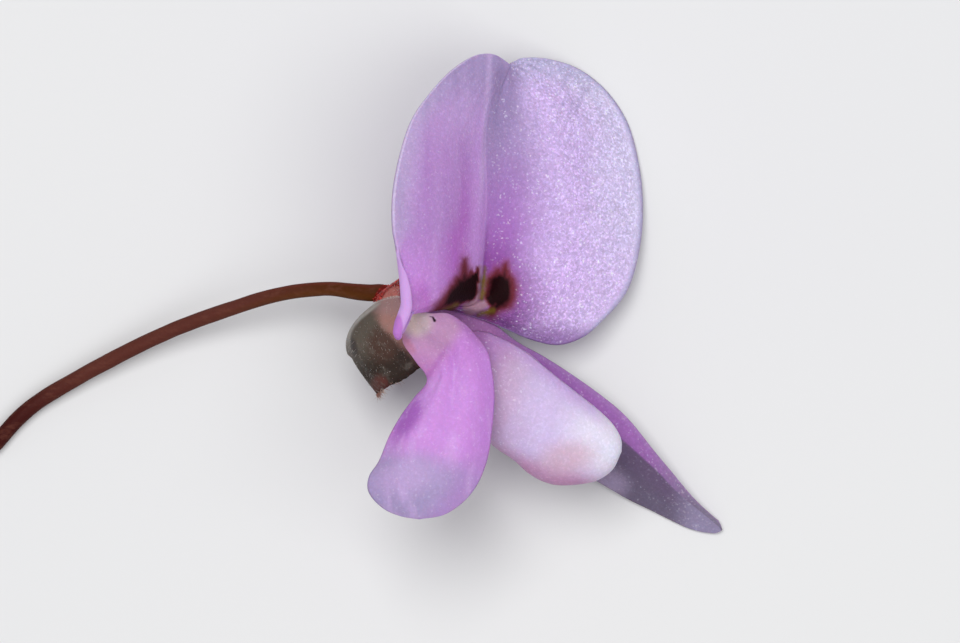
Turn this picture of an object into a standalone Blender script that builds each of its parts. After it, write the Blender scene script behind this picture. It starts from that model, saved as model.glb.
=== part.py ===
"""Tick-trefoil flower with its stalk, as picked and laid down. Units are metres, +Z is up.

The drawing values are millimetres. In the drawing, x runs along the stalk to the flower,
y runs up the standard, and z is the height over the surface that the flower lies on.
"""

import math

import bmesh
import bpy
import numpy as np

MM = 0.001

# Middle of the flower's outline in the drawing, which becomes the model's origin
MIDDLE = (-4.082, 0.914)

# Thickness of each kind of tissue
PETAL_THICKNESS = 0.6
KEEL_THICKNESS = 0.6
CALYX_THICKNESS = 0.6
EVENING_PASSES = 24

# Petals are thinner in their claws, and a tenth of their rows lies there
CLAW_ROWS = 0.1
CLAW_SHARE = 0.28
CLAW_THINNESS = 0.4

# Stalk: its line, its thickness at the cut end and at the flower
PEDICEL_LINE = [
    (-15.85, -4.1, 0.24),
    (-14.7, -2.88, 0.3),
    (-13.05, -1.83, 0.47),
    (-11.4, -0.95, 0.72),
    (-9.7, -0.17, 1.05),
    (-8.05, 0.42, 1.45),
    (-6.4, 0.9, 1.95),
    (-4.8, 1.05, 2.55),
    (-3.9, 1.02, 2.98),
    (-3.5, 0.95, 3.12),
    (-3.25, 0.7, 3.15),
    (-3.0, 0.38, 3.15),
]
PEDICEL_CUT_DIAMETER = 0.54
PEDICEL_TOP_DIAMETER = 0.42
PEDICEL_STEPS = 34

# Calyx: a lopsided bell round its own axis
CALYX_BASE = (-3.35, 0.8, 3.15)
CALYX_AXIS = (0.62, -0.78, 0.0)
CALYX_ROOT_RADIUS = 0.42
CALYX_REACH_BELOW = 2.0
CALYX_REACH_ABOVE = 1.5
CALYX_REACH_SIDE = 1.55
CALYX_LIP = 2.5
CALYX_TOOTH = 0.12
CALYX_LIP_CUT_BACK = 0.45
CALYX_LIP_TURN = math.radians(78)
CALYX_SQUARENESS = 3.4
CALYX_ROUND = 36
CALYX_ROWS = 9

# Standard: its midrib, then its two margins from the claw to the notch at the top
STANDARD_MIDRIB = [
    (-2.5, 0.35, 3.0),
    (-1.7, 0.45, 2.8),
    (-0.9, 0.5, 2.55),
    (-0.35, 0.6, 2.45),
    (0.0, 1.05, 2.5),
    (0.15, 2.0, 2.75),
    (0.25, 3.9, 3.0),
    (0.35, 6.8, 2.8),
    (1.0, 8.3, 2.2),
]
STANDARD_NEAR_MARGIN = [
    (-2.5, 0.4, 3.4),
    (-1.7, 0.45, 3.25),
    (-1.05, 0.42, 3.2),
    (-1.05, 0.38, 3.7),
    (-1.5, 0.25, 4.6),
    (-2.05, -0.05, 5.5),
    (-2.4, -0.35, 5.95),
    (-2.65, -0.4, 6.12),
    (-2.65, -0.05, 6.17),
    (-2.45, 0.85, 6.15),
    (-2.5, 1.95, 6.25),
    (-2.65, 3.3, 6.3),
    (-2.47, 4.9, 6.1),
    (-2.03, 6.6, 5.4),
    (-1.5, 7.5, 4.7),
    (-0.7, 8.25, 3.8),
    (0.05, 8.65, 3.0),
    (0.55, 8.6, 2.55),
    (1.0, 8.3, 2.2),
]
STANDARD_FAR_MARGIN = [
    (-2.5, 0.35, 2.6),
    (-1.3, 0.4, 2.2),
    (0.0, 0.05, 2.0),
    (0.95, -0.3, 1.95),
    (1.8, -0.6, 1.9),
    (2.6, -0.75, 1.85),
    (3.35, -0.55, 1.75),
    (4.0, 0.05, 1.55),
    (4.7, 0.9, 1.35),
    (5.15, 2.3, 1.05),
    (5.25, 3.45, 0.85),
    (5.15, 5.05, 0.6),
    (4.7, 6.65, 0.46),
    (4.1, 7.5, 0.44),
    (3.2, 8.2, 0.6),
    (2.3, 8.5, 1.05),
    (1.6, 8.55, 1.55),
    (1.25, 8.5, 1.85),
    (1.0, 8.3, 2.2),
]
STANDARD_CLAW_POINTS = (2, 2, 1)
STANDARD_SWELLS = (0.55, 0.5)
STANDARD_ROWS = 30
STANDARD_COLUMNS = 9

# Wing towards the viewer, which hangs down and comes forward
WING_RIGHT_MIDRIB = [
    (-2.3, 0.2, 4.05),
    (-1.75, -0.25, 4.9),
    (-0.95, -1.0, 5.45),
    (-0.9, -2.55, 5.95),
    (-1.35, -4.15, 6.35),
    (-1.75, -5.45, 6.5),
    (-1.95, -6.35, 6.4),
]
WING_RIGHT_NEAR_MARGIN = [
    (-2.35, -0.05, 4.05),
    (-2.3, -0.3, 4.7),
    (-2.4, -0.65, 5.3),
    (-2.1, -1.25, 5.45),
    (-1.7, -1.9, 5.5),
    (-2.1, -2.45, 5.5),
    (-2.6, -3.1, 5.6),
    (-2.95, -3.7, 5.7),
    (-3.3, -4.5, 5.85),
    (-3.6, -5.05, 5.95),
    (-3.65, -5.35, 6.0),
    (-3.15, -6.0, 6.2),
    (-2.55, -6.25, 6.3),
    (-1.95, -6.35, 6.4),
]
WING_RIGHT_FAR_MARGIN = [
    (-2.2, 0.4, 4.05),
    (-1.6, 0.15, 4.65),
    (-1.05, 0.1, 4.95),
    (-0.55, -0.1, 5.05),
    (-0.1, -0.5, 5.1),
    (0.25, -0.95, 5.15),
    (0.4, -1.65, 5.2),
    (0.45, -2.65, 5.3),
    (0.4, -3.55, 5.45),
    (0.2, -4.6, 5.7),
    (-0.45, -5.7, 6.05),
    (-1.15, -6.2, 6.3),
    (-1.95, -6.35, 6.4),
]
WING_RIGHT_SWELLS = (0.35, 0.35)

# Wing behind the keel, folded along its length
WING_LEFT_FOLD = [
    (-2.15, -0.2, 2.7),
    (-1.3, -0.5, 2.3),
    (0.3, -1.0, 2.1),
    (1.95, -2.05, 2.05),
    (3.55, -3.1, 1.8),
    (4.5, -3.9, 1.55),
    (5.6, -4.95, 1.2),
    (6.25, -5.6, 0.95),
    (6.85, -6.15, 0.78),
    (7.45, -6.55, 0.65),
    (7.87, -6.72, 0.6),
]
WING_LEFT_UPPER_MARGIN = [
    (-2.15, 0.1, 2.7),
    (-1.0, -0.1, 2.0),
    (0.4, -0.25, 1.75),
    (1.2, -0.7, 1.7),
    (2.55, -1.5, 1.65),
    (3.95, -2.45, 1.55),
    (4.55, -3.05, 1.48),
    (5.15, -3.8, 1.4),
    (6.05, -4.9, 1.2),
    (7.0, -5.9, 0.85),
    (7.6, -6.4, 0.67),
    (7.87, -6.72, 0.6),
]
WING_LEFT_LOWER_MARGIN = [
    (-2.2, -0.5, 2.65),
    (-1.3, -1.25, 1.9),
    (0.0, -2.3, 1.45),
    (1.3, -3.45, 1.2),
    (2.6, -4.45, 0.95),
    (3.7, -5.1, 0.8),
    (4.65, -5.7, 0.67),
    (5.85, -6.3, 0.56),
    (6.5, -6.6, 0.53),
    (7.15, -6.8, 0.53),
    (7.6, -6.82, 0.55),
    (7.87, -6.72, 0.6),
]
WING_LEFT_SWELLS = (0.0, 0.0)
WING_CLAW_POINTS = (1, 1, 1)
WING_ROWS = 24
WING_COLUMNS = 5

# Keel: its open upper edge and its joined lower edge, from the claw to the tip
KEEL_UPPER_EDGE = [
    (-1.55, -0.6, 3.25),
    (-0.9, -0.4, 3.3),
    (0.05, -0.1, 3.4),
    (1.1, -0.5, 3.4),
    (1.95, -1.2, 3.4),
    (2.8, -1.8, 3.4),
    (3.7, -2.45, 3.4),
    (4.25, -3.1, 3.4),
    (4.6, -3.8, 3.4),
    (4.55, -4.2, 3.4),
]
KEEL_LOWER_EDGE = [
    (-2.15, -1.45, 3.25),
    (-1.3, -2.3, 3.3),
    (-0.35, -3.25, 3.4),
    (0.4, -4.0, 3.4),
    (1.1, -4.5, 3.4),
    (1.65, -4.95, 3.4),
    (2.35, -5.25, 3.4),
    (3.1, -5.25, 3.4),
    (3.8, -5.1, 3.4),
    (4.3, -4.75, 3.4),
    (4.55, -4.2, 3.4),
]
KEEL_HALF_WIDTH = 1.0
KEEL_CLAW_NARROWING = 0.92
KEEL_TIP_DEPTH = 0.12
KEEL_OPEN_AT_CLAW = math.radians(85)
KEEL_OPEN_AT_TIP = math.radians(158)
KEEL_ROWS = 20
KEEL_ROUND = 20

# Column inside the keel: the sheath of joined stamens round the pistil
COLUMN_LINE = [
    (-2.7, 0.05, 3.1),
    (-2.3, -0.35, 3.15),
    (-1.6, -0.85, 3.25),
    (-0.3, -1.5, 3.35),
    (1.0, -2.3, 3.4),
    (2.2, -3.05, 3.4),
    (3.0, -3.6, 3.4),
]
SHEATH_RADIUS = 0.22
SHEATH_WALL = 0.08
SHEATH_SIDES = 12
SHEATH_STEPS = 18
STAMENS = 10
FILAMENT_RADIUS = 0.03
STAMEN_ROOT = 0.3
STAMEN_REACH = (0.5, 0.85)
STAMEN_SIDES = 6
ANTHER_PROFILE = [(-0.12, 0.025), (-0.07, 0.05), (0.07, 0.05), (0.12, 0.02)]
PISTIL_RADIUS = 0.08
STYLE_LENGTH = 0.95

COLOURS = {
    "pedicel": ((0.16, 0.045, 0.022, 1), 0.55),
    "calyx": ((0.20, 0.16, 0.12, 1), 0.6),
    "standard": ((0.55, 0.33, 0.72, 1), 0.6),
    "wing_right": ((0.56, 0.26, 0.72, 1), 0.6),
    "wing_left": ((0.42, 0.20, 0.52, 1), 0.6),
    "keel": ((0.78, 0.66, 0.82, 1), 0.55),
    "stamens": ((0.80, 0.78, 0.62, 1), 0.6),
    "pistil": ((0.45, 0.55, 0.30, 1), 0.55),
}


def clear_scene():
    for old in list(bpy.data.objects):
        bpy.data.objects.remove(old, do_unlink=True)


def tissue(name):
    """The plain material of one piece."""
    colour, roughness = COLOURS[name]
    material = bpy.data.materials.new(name)
    material.use_nodes = True
    shader = material.node_tree.nodes["Principled BSDF"]
    shader.inputs["Base Color"].default_value = colour
    shader.inputs["Roughness"].default_value = roughness
    shader.inputs["Metallic"].default_value = 0.0
    return material


def smooth_path(points, fractions):
    """Places at these fractions of the length of a smooth curve through a few points."""
    knots = np.array(points, float)
    at = np.concatenate([[0.0], np.cumsum(np.linalg.norm(np.diff(knots, axis=0), axis=1))])
    slopes = np.gradient(knots, at, axis=0)
    fine = np.linspace(0.0, at[-1], 40 * len(knots))
    piece = np.clip(np.searchsorted(at, fine, side="right") - 1, 0, len(knots) - 2)
    length = (at[piece + 1] - at[piece])[:, None]
    t = (fine - at[piece])[:, None] / length
    curve = (
        (1 + 2 * t) * (1 - t) ** 2 * knots[piece]
        + t * (1 - t) ** 2 * length * slopes[piece]
        + t * t * (3 - 2 * t) * knots[piece + 1]
        + t * t * (t - 1) * length * slopes[piece + 1]
    )
    along = np.concatenate([[0.0], np.cumsum(np.linalg.norm(np.diff(curve, axis=0), axis=1))])
    wanted = np.asarray(fractions) * along[-1]
    return np.stack([np.interp(wanted, along, curve[:, k]) for k in range(3)], axis=1)


def placed(point):
    """A drawing point in metres, in the model's frame."""
    return ((point[0] - MIDDLE[0]) * MM, (point[1] - MIDDLE[1]) * MM, point[2] * MM)


def object_from(name, data, collection):
    """The node of this name, with its material, from a mesh or a curve."""
    piece = bpy.data.objects.new(name, data)
    collection.objects.link(piece)
    data.materials.append(tissue(name))
    return piece


def solid_mesh(name, face, back, closed_round=False):
    """A closed solid between two grids of drawing points, whose rows may close on themselves."""
    rows, columns = face.shape[:2]
    steps = columns if closed_round else columns - 1
    work = bmesh.new()
    upper = [[work.verts.new(placed(point)) for point in row] for row in face]
    under = [[work.verts.new(placed(point)) for point in row] for row in back]

    def patch(a, b, c, d):
        work.faces.new((a, b, c))
        work.faces.new((a, c, d))

    for row in range(rows - 1):
        for column in range(steps):
            after = (column + 1) % columns
            a, b = (row, column), (row, after)
            c, d = (row + 1, after), (row + 1, column)
            patch(*(upper[i][j] for i, j in (a, b, c, d)))
            work.faces.new([under[i][j] for i, j in (c, b, a)])
            work.faces.new([under[i][j] for i, j in (d, c, a)])
    for column in range(steps):
        after = (column + 1) % columns
        patch(upper[0][after], upper[0][column], under[0][column], under[0][after])
        patch(upper[-1][column], upper[-1][after], under[-1][after], under[-1][column])
    if not closed_round:
        for row in range(rows - 1):
            patch(upper[row][0], upper[row + 1][0], under[row + 1][0], under[row][0])
            patch(upper[row + 1][-1], upper[row][-1], under[row][-1], under[row + 1][-1])
    bmesh.ops.remove_doubles(work, verts=work.verts, dist=1e-6)
    mesh = bpy.data.meshes.new(name)
    work.to_mesh(mesh)
    work.free()
    mesh.shade_smooth()
    return mesh


def back_of(face, thickness):
    """The other side of a petal, at an even thickness in directions that change gently."""
    across = np.gradient(face, axis=1)
    along = np.gradient(face, axis=0)
    out = np.cross(across, along)
    out /= np.linalg.norm(out, axis=2, keepdims=True) + 1e-12
    for _ in range(EVENING_PASSES):
        wide = np.pad(out, ((1, 1), (1, 1), (0, 0)), mode="edge")
        out = wide[:-2, 1:-1] + wide[2:, 1:-1] + wide[1:-1, :-2] + wide[1:-1, 2:] + out
        out /= np.linalg.norm(out, axis=2, keepdims=True)
    out[-1] = out[-1].mean(axis=0)
    out[-1] /= np.linalg.norm(out[-1, 0])
    along = np.minimum(1.0, np.linspace(0.0, 1.0, len(face)) / CLAW_SHARE)
    filled = CLAW_THINNESS + (1 - CLAW_THINNESS) * along * along * (3 - 2 * along)
    return face - out * thickness * filled[:, None, None]


def petal_path(points, claw_point, along):
    """Places on a petal's line, with the first tenth of the rows on its claw."""
    knots = np.array(points, float)
    at = np.concatenate([[0.0], np.cumsum(np.linalg.norm(np.diff(knots, axis=0), axis=1))])
    claw = at[claw_point] / at[-1]
    return smooth_path(points, np.interp(along, (0.0, CLAW_ROWS, 1.0), (0.0, claw, 1.0)))


def petal_grid(midrib, left_margin, right_margin, claw_points, rows, columns, swells):
    """Points across a petal from its left to its right margin, row by row from claw to tip."""
    along = np.linspace(0.0, 1.0, rows + 1)
    middle = petal_path(midrib, claw_points[0], along)
    left = petal_path(left_margin, claw_points[1], along)
    right = petal_path(right_margin, claw_points[2], along)
    left_swell, right_swell = swells
    across = np.linspace(-1.0, 1.0, 2 * columns + 1)
    grid = np.empty((rows + 1, len(across), 3))
    for column, u in enumerate(across):
        margin, swell = (left, left_swell) if u < 0 else (right, right_swell)
        grid[:, column] = middle * (1 - abs(u)) + margin * abs(u)
        grid[:, column, 2] += swell * math.sin(math.pi * abs(u)) * np.sin(math.pi * along)
    return grid


def rest_cutter(cutters):
    """A wide slab under the resting surface, which planes the low points flat."""
    bpy.ops.mesh.primitive_cube_add(size=1.0)
    slab = bpy.context.active_object
    slab.name = "rest_slab"
    slab.scale = (40 * MM, 40 * MM, 4 * MM)
    slab.location = (0.0, 0.0, -2 * MM)
    for holder in list(slab.users_collection):
        holder.objects.unlink(slab)
    cutters.objects.link(slab)
    slab.hide_render = True
    slab.display_type = "WIRE"
    return slab


def rest_on_surface(piece, slab):
    flat = piece.modifiers.new("rest", "BOOLEAN")
    flat.operation = "DIFFERENCE"
    flat.object = slab


def make_petals(flower):
    standard = petal_grid(
        STANDARD_MIDRIB,
        STANDARD_NEAR_MARGIN,
        STANDARD_FAR_MARGIN,
        STANDARD_CLAW_POINTS,
        STANDARD_ROWS,
        STANDARD_COLUMNS,
        STANDARD_SWELLS,
    )
    wing_right = petal_grid(
        WING_RIGHT_MIDRIB,
        WING_RIGHT_FAR_MARGIN,
        WING_RIGHT_NEAR_MARGIN,
        WING_CLAW_POINTS,
        WING_ROWS,
        WING_COLUMNS,
        WING_RIGHT_SWELLS,
    )
    wing_left = petal_grid(
        WING_LEFT_FOLD,
        WING_LEFT_UPPER_MARGIN,
        WING_LEFT_LOWER_MARGIN,
        WING_CLAW_POINTS,
        WING_ROWS,
        WING_COLUMNS,
        WING_LEFT_SWELLS,
    )
    made = {}
    for name, face in (("standard", standard), ("wing_right", wing_right), ("wing_left", wing_left)):
        mesh = solid_mesh(name, face, back_of(face, PETAL_THICKNESS))
        made[name] = object_from(name, mesh, flower)
    return made


def keel_grid(inset):
    """The keel's outer face, or with an inset its inner face."""
    along = np.linspace(0.0, 1.0, KEEL_ROWS + 1)
    upper = smooth_path(KEEL_UPPER_EDGE, along * (1 - inset * KEEL_TIP_DEPTH))
    lower = smooth_path(KEEL_LOWER_EDGE, along * (1 - inset * KEEL_TIP_DEPTH))
    grid = np.empty((KEEL_ROWS + 1, KEEL_ROUND + 1, 3))
    for row, t in enumerate(along):
        turn = KEEL_OPEN_AT_CLAW + (KEEL_OPEN_AT_TIP - KEEL_OPEN_AT_CLAW) * min(1.0, 3.0 * t)
        half_width = KEEL_HALF_WIDTH * (1 - t**6) ** 0.5 * min(1.0, KEEL_CLAW_NARROWING + 2.5 * t)
        half_width *= 1 - inset / KEEL_HALF_WIDTH
        middle = (upper[row] + lower[row]) / 2
        depth = (lower[row] - upper[row]) / 2
        depth *= 1 - min(0.8, inset / max(np.linalg.norm(depth), 1e-6))
        if inset:
            depth *= (1 - t**6) ** 0.5
        for column in range(KEEL_ROUND + 1):
            angle = turn * (1 - 2 * column / KEEL_ROUND)
            grid[row, column] = middle + depth * math.cos(angle)
            grid[row, column, 2] += half_width * math.sin(angle)
    return grid


def make_keel(flower):
    mesh = solid_mesh("keel", keel_grid(0.0), keel_grid(KEEL_THICKNESS))
    return object_from("keel", mesh, flower)


def calyx_grid(inset):
    """The calyx's outer face, or with an inset its inner face."""
    axis = np.array(CALYX_AXIS) / np.linalg.norm(CALYX_AXIS)
    base = np.array(CALYX_BASE) + axis * inset
    below = np.array((axis[1], -axis[0], 0.0))
    near = np.array((0.0, 0.0, 1.0))
    grid = np.empty((CALYX_ROWS + 1, CALYX_ROUND, 3))
    for column in range(CALYX_ROUND):
        angle = -2 * math.pi * column / CALYX_ROUND
        down, side = math.cos(angle), math.sin(angle)
        reach_down = (CALYX_REACH_BELOW if down > 0 else CALYX_REACH_ABOVE) - inset
        lip = CALYX_LIP + CALYX_TOOTH * max(0.0, down) ** 24
        open_part = min(1.0, max(0.0, (math.acos(down) - CALYX_LIP_TURN) / math.radians(25)))
        lip += (CALYX_LIP_CUT_BACK - lip) * open_part * open_part * (3 - 2 * open_part) - inset
        for row in range(CALYX_ROWS + 1):
            t = math.pi / 2 * row / CALYX_ROWS
            out = math.sin(t) ** (2 / CALYX_SQUARENESS)
            up = 1 - math.cos(t) ** (2 / CALYX_SQUARENESS)
            root = CALYX_ROOT_RADIUS * (1 - out)
            grid[row, column] = (
                base
                + axis * up * lip
                + below * down * (root + reach_down * out)
                + near * side * (root + (CALYX_REACH_SIDE - inset) * out)
            )
    return grid


def make_calyx(flower):
    mesh = solid_mesh("calyx", calyx_grid(0.0), calyx_grid(CALYX_THICKNESS), closed_round=True)
    return object_from("calyx", mesh, flower)


def tube(name, line, start_radius, end_radius, collection):
    """A round rod along a line of drawing points, which narrows evenly from start to end."""
    curve = bpy.data.curves.new(name, "CURVE")
    curve.dimensions = "3D"
    curve.bevel_depth = start_radius * MM
    curve.bevel_resolution = 2
    curve.use_fill_caps = True
    spline = curve.splines.new("POLY")
    spline.points.add(len(line) - 1)
    for step, (knot, point) in enumerate(zip(spline.points, line)):
        knot.co = (*placed(point), 1.0)
        knot.radius = 1 + (end_radius / start_radius - 1) * step / (len(line) - 1)
    rod = bpy.data.objects.new(name, curve)
    collection.objects.link(rod)
    return rod


def make_pedicel(flower):
    """The stalk's rod as a mesh, so that it can be planed where it rests."""
    line = smooth_path(PEDICEL_LINE, np.linspace(0.0, 1.0, PEDICEL_STEPS + 1))
    rod = tube("pedicel_rod", line, PEDICEL_CUT_DIAMETER / 2, PEDICEL_TOP_DIAMETER / 2, flower)
    bpy.context.view_layer.update()
    graph = bpy.context.evaluated_depsgraph_get()
    mesh = bpy.data.meshes.new_from_object(rod.evaluated_get(graph))
    bpy.data.objects.remove(rod, do_unlink=True)
    mesh.name = "pedicel"
    work = bmesh.new()
    work.from_mesh(mesh)
    bmesh.ops.remove_doubles(work, verts=work.verts, dist=1e-7)
    work.to_mesh(mesh)
    work.free()
    return object_from("pedicel", mesh, flower)


def column_frames(fractions):
    """Places along the column, with its direction and two directions across it."""
    places = smooth_path(COLUMN_LINE, fractions)
    ahead = smooth_path(COLUMN_LINE, np.clip(np.asarray(fractions) + 0.01, 0, 1))
    behind = smooth_path(COLUMN_LINE, np.clip(np.asarray(fractions) - 0.01, 0, 1))
    along = ahead - behind
    along /= np.linalg.norm(along, axis=1)[:, None]
    across = np.cross(along, (0.0, 0.0, 1.0))
    across /= np.linalg.norm(across, axis=1)[:, None]
    return places, along, across, np.cross(across, along)


def sheath_piece(holder):
    """The ten filaments grown together: an open tube with a thin wall."""
    places, _, across, upward = column_frames(np.linspace(0.0, 1.0, SHEATH_STEPS + 1))
    skins = []
    for radius in (SHEATH_RADIUS, SHEATH_RADIUS - SHEATH_WALL):
        grid = np.empty((SHEATH_STEPS + 1, SHEATH_SIDES, 3))
        for column in range(SHEATH_SIDES):
            angle = 2 * math.pi * column / SHEATH_SIDES
            grid[:, column] = places + radius * (across * math.cos(angle) + upward * math.sin(angle))
        skins.append(grid)
    mesh = solid_mesh("sheath", skins[0], skins[1], closed_round=True)
    sheath = bpy.data.objects.new("sheath", mesh)
    holder.objects.link(sheath)
    return sheath


def stamen_tips(holder):
    """The filaments' free ends with their anthers, rooted in the wall at the sheath's rim."""
    places, along, across, upward = column_frames([1.0])
    foot, ahead = places[0], along[0]
    work = bmesh.new()
    for number in range(STAMENS):
        angle = 2 * math.pi * (number + 0.3) / STAMENS
        out = across[0] * math.cos(angle) + upward[0] * math.sin(angle)
        middle = foot + out * (SHEATH_RADIUS - SHEATH_WALL / 2)
        reach = STAMEN_REACH[number % 2]
        rings = []
        for distance, radius in [(-STAMEN_ROOT, FILAMENT_RADIUS)] + [
            (reach + offset, size) for offset, size in ANTHER_PROFILE
        ]:
            ring = []
            for side in range(STAMEN_SIDES):
                turn = 2 * math.pi * side / STAMEN_SIDES
                sideways = across[0] * math.cos(turn) + upward[0] * math.sin(turn)
                ring.append(work.verts.new(placed(middle + ahead * distance + sideways * radius)))
            rings.append(ring)
        for lower, higher in zip(rings, rings[1:]):
            for side in range(STAMEN_SIDES):
                after = (side + 1) % STAMEN_SIDES
                work.faces.new((lower[side], lower[after], higher[after], higher[side]))
        work.faces.new(rings[0][::-1])
        work.faces.new(rings[-1])
    bmesh.ops.recalc_face_normals(work, faces=work.faces)
    mesh = bpy.data.meshes.new("stamen_tips")
    work.to_mesh(mesh)
    work.free()
    tips = bpy.data.objects.new("stamen_tips", mesh)
    holder.objects.link(tips)
    return tips


def make_stamens(flower, cutters):
    """Joins the sheath and the filaments' ends into one body."""
    sheath = sheath_piece(cutters)
    tips = stamen_tips(cutters)
    join = sheath.modifiers.new("join", "BOOLEAN")
    join.operation = "UNION"
    join.object = tips
    bpy.context.view_layer.update()
    graph = bpy.context.evaluated_depsgraph_get()
    mesh = bpy.data.meshes.new_from_object(sheath.evaluated_get(graph))
    mesh.name = "stamens"
    mesh.materials.clear()
    for helper in (sheath, tips):
        bpy.data.objects.remove(helper, do_unlink=True)
    return object_from("stamens", mesh, flower)


def make_pistil(flower):
    """The ovary and style: a thin rod through the sheath that tapers to its tip."""
    places, along, _, _ = column_frames(np.linspace(0.0, 1.0, SHEATH_STEPS + 1))
    line = list(places) + [places[-1] + along[-1] * STYLE_LENGTH]
    pistil = tube("pistil", line, PISTIL_RADIUS, PISTIL_RADIUS * 0.5, flower)
    pistil.data.materials.append(tissue("pistil"))
    return pistil


clear_scene()
flower = bpy.data.collections.new("tick_trefoil_flower")
cutters = bpy.data.collections.new("cutters")
bpy.context.scene.collection.children.link(flower)
bpy.context.scene.collection.children.link(cutters)
petals = make_petals(flower)
make_keel(flower)
make_calyx(flower)
pedicel = make_pedicel(flower)
make_stamens(flower, cutters)
make_pistil(flower)
slab = rest_cutter(cutters)
for piece in (pedicel, petals["standard"], petals["wing_left"]):
    rest_on_surface(piece, slab)
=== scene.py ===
# %% [markdown]
# # A tick-trefoil flower, laid down as picked
#
# This lesson dresses a small pea flower for its portrait. The solids of the flower are
# already measured and packed: they are the frame that everything here fits to. Each petal
# of the frame is thick and plain, so it is replaced by a thin, finely shaped one that lies
# in the same place, and everything that is only colour, vein, hair or sparkle is added.

# %% Load the frame
import math

import bmesh
import bpy
import numpy as np
from mathutils import Matrix, Vector, noise


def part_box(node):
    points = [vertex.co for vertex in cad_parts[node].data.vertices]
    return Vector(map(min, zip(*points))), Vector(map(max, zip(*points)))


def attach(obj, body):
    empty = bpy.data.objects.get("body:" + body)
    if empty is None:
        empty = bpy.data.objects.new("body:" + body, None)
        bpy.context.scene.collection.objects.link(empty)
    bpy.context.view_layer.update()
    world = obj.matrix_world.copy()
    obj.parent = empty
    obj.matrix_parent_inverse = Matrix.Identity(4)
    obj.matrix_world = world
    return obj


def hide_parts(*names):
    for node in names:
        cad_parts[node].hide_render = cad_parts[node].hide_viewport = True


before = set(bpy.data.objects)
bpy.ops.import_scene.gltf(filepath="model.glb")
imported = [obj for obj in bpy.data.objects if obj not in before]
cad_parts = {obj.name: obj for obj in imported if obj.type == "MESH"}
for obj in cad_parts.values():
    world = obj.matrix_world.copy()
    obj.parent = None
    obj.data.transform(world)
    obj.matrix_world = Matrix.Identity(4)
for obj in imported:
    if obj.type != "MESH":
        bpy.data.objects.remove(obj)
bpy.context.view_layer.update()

print("nodes of the frame:", sorted(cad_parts))

# %% [markdown]
# ## The drawing
#
# The flower was drawn in millimetres on the photograph: x runs along the stalk towards the
# flower, y up the tall back petal, and z is the height over the table. Its origin is the
# middle of the picture. The model's own origin is the middle of the flower's outline, so a
# drawing point is moved by MIDDLE and scaled to metres.

# %% From the drawing to the model
MM = 0.001
MIDDLE = np.array((-4.082, 0.914, 0.0))


def in_metres(points):
    """Drawing points as model points."""
    return (np.asarray(points, float) - MIDDLE) * MM


low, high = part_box("standard")
print("the tall petal spans", [round(v / MM, 2) for v in (*low, *high)], "mm")

# %% [markdown]
# ## Smooth lines through a few points
#
# A petal is described by three lines: its midrib and its two margins. Each is given by a
# few points, and a curve with matching slopes runs through them. The
# claw, the narrow foot of a petal, gets its own tenth of the rows, so that the cross lines
# fan out from it the way the veins do.

# %% Curves through points
CLAW_ROWS = 0.1


def chord_lengths(knots):
    """The distance from the first point to each, along straight steps."""
    steps = np.linalg.norm(np.diff(knots, axis=0), axis=1)
    return np.concatenate([[0.0], np.cumsum(steps)])


def smooth_path(points, fractions):
    """Places at these fractions of the length of a smooth curve through a few points."""
    knots = np.array(points, float)
    at = chord_lengths(knots)
    slopes = np.gradient(knots, at, axis=0)
    fine = np.linspace(0.0, at[-1], 60 * len(knots))
    piece = np.clip(np.searchsorted(at, fine, side="right") - 1, 0, len(knots) - 2)
    length = (at[piece + 1] - at[piece])[:, None]
    t = (fine - at[piece])[:, None] / length
    curve = (
        (1 + 2 * t) * (1 - t) ** 2 * knots[piece]
        + t * (1 - t) ** 2 * length * slopes[piece]
        + t * t * (3 - 2 * t) * knots[piece + 1]
        + t * t * (t - 1) * length * slopes[piece + 1]
    )
    along = chord_lengths(curve)
    wanted = np.asarray(fractions) * along[-1]
    return np.stack([np.interp(wanted, along, curve[:, k]) for k in range(3)], axis=1)


def petal_path(points, claw_point, along):
    """Places on a petal's line, with the first tenth of the rows on its claw."""
    at = chord_lengths(np.array(points, float))
    claw = at[claw_point] / at[-1]
    return smooth_path(points, np.interp(along, (0.0, CLAW_ROWS, 1.0), (0.0, claw, 1.0)))


def ease(value, low, high):
    """A soft step from 0 at low to 1 at high."""
    t = np.clip((np.asarray(value, float) - low) / (high - low), 0.0, 1.0)
    return t * t * (3 - 2 * t)

# %% [markdown]
# ## A thin petal
#
# A real petal is about an eighth of a millimetre thick. Its face is a grid of points between
# two margins. The directions of its thickness are averaged over their neighbours, so the back
# never folds through the face.

# %% Directions and grids
PETAL_THICK = 0.12


def outward(face, passes=6):
    """Gently changing directions out of the face of a grid."""
    out = np.cross(np.gradient(face, axis=1), np.gradient(face, axis=0))
    out /= np.linalg.norm(out, axis=2, keepdims=True) + 1e-12
    for _ in range(passes):
        wide = np.pad(out, ((1, 1), (1, 1), (0, 0)), mode="edge")
        out = wide[:-2, 1:-1] + wide[2:, 1:-1] + wide[1:-1, :-2] + wide[1:-1, 2:] + out
        out /= np.linalg.norm(out, axis=2, keepdims=True) + 1e-12
    out[-3:] = out[-4].mean(axis=0) / np.linalg.norm(out[-4].mean(axis=0))
    return out


def blade_grid(lines, claw_points, rows, across, swells):
    """Points of a blade between two margins, bulging by the swells beside its midrib."""
    along = np.linspace(0.0, 1.0, rows + 1)
    middle, left, right = (petal_path(l, c, along) for l, c in zip(lines, claw_points))
    grid = np.empty((rows + 1, len(across), 3))
    for column, u in enumerate(across):
        margin, swell = (left, swells[0]) if u < 0 else (right, swells[1])
        grid[:, column] = middle * (1 - abs(u)) + margin * abs(u)
        grid[:, column, 2] += swell * math.sin(math.pi * abs(u)) * np.sin(math.pi * along)
    return grid


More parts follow.
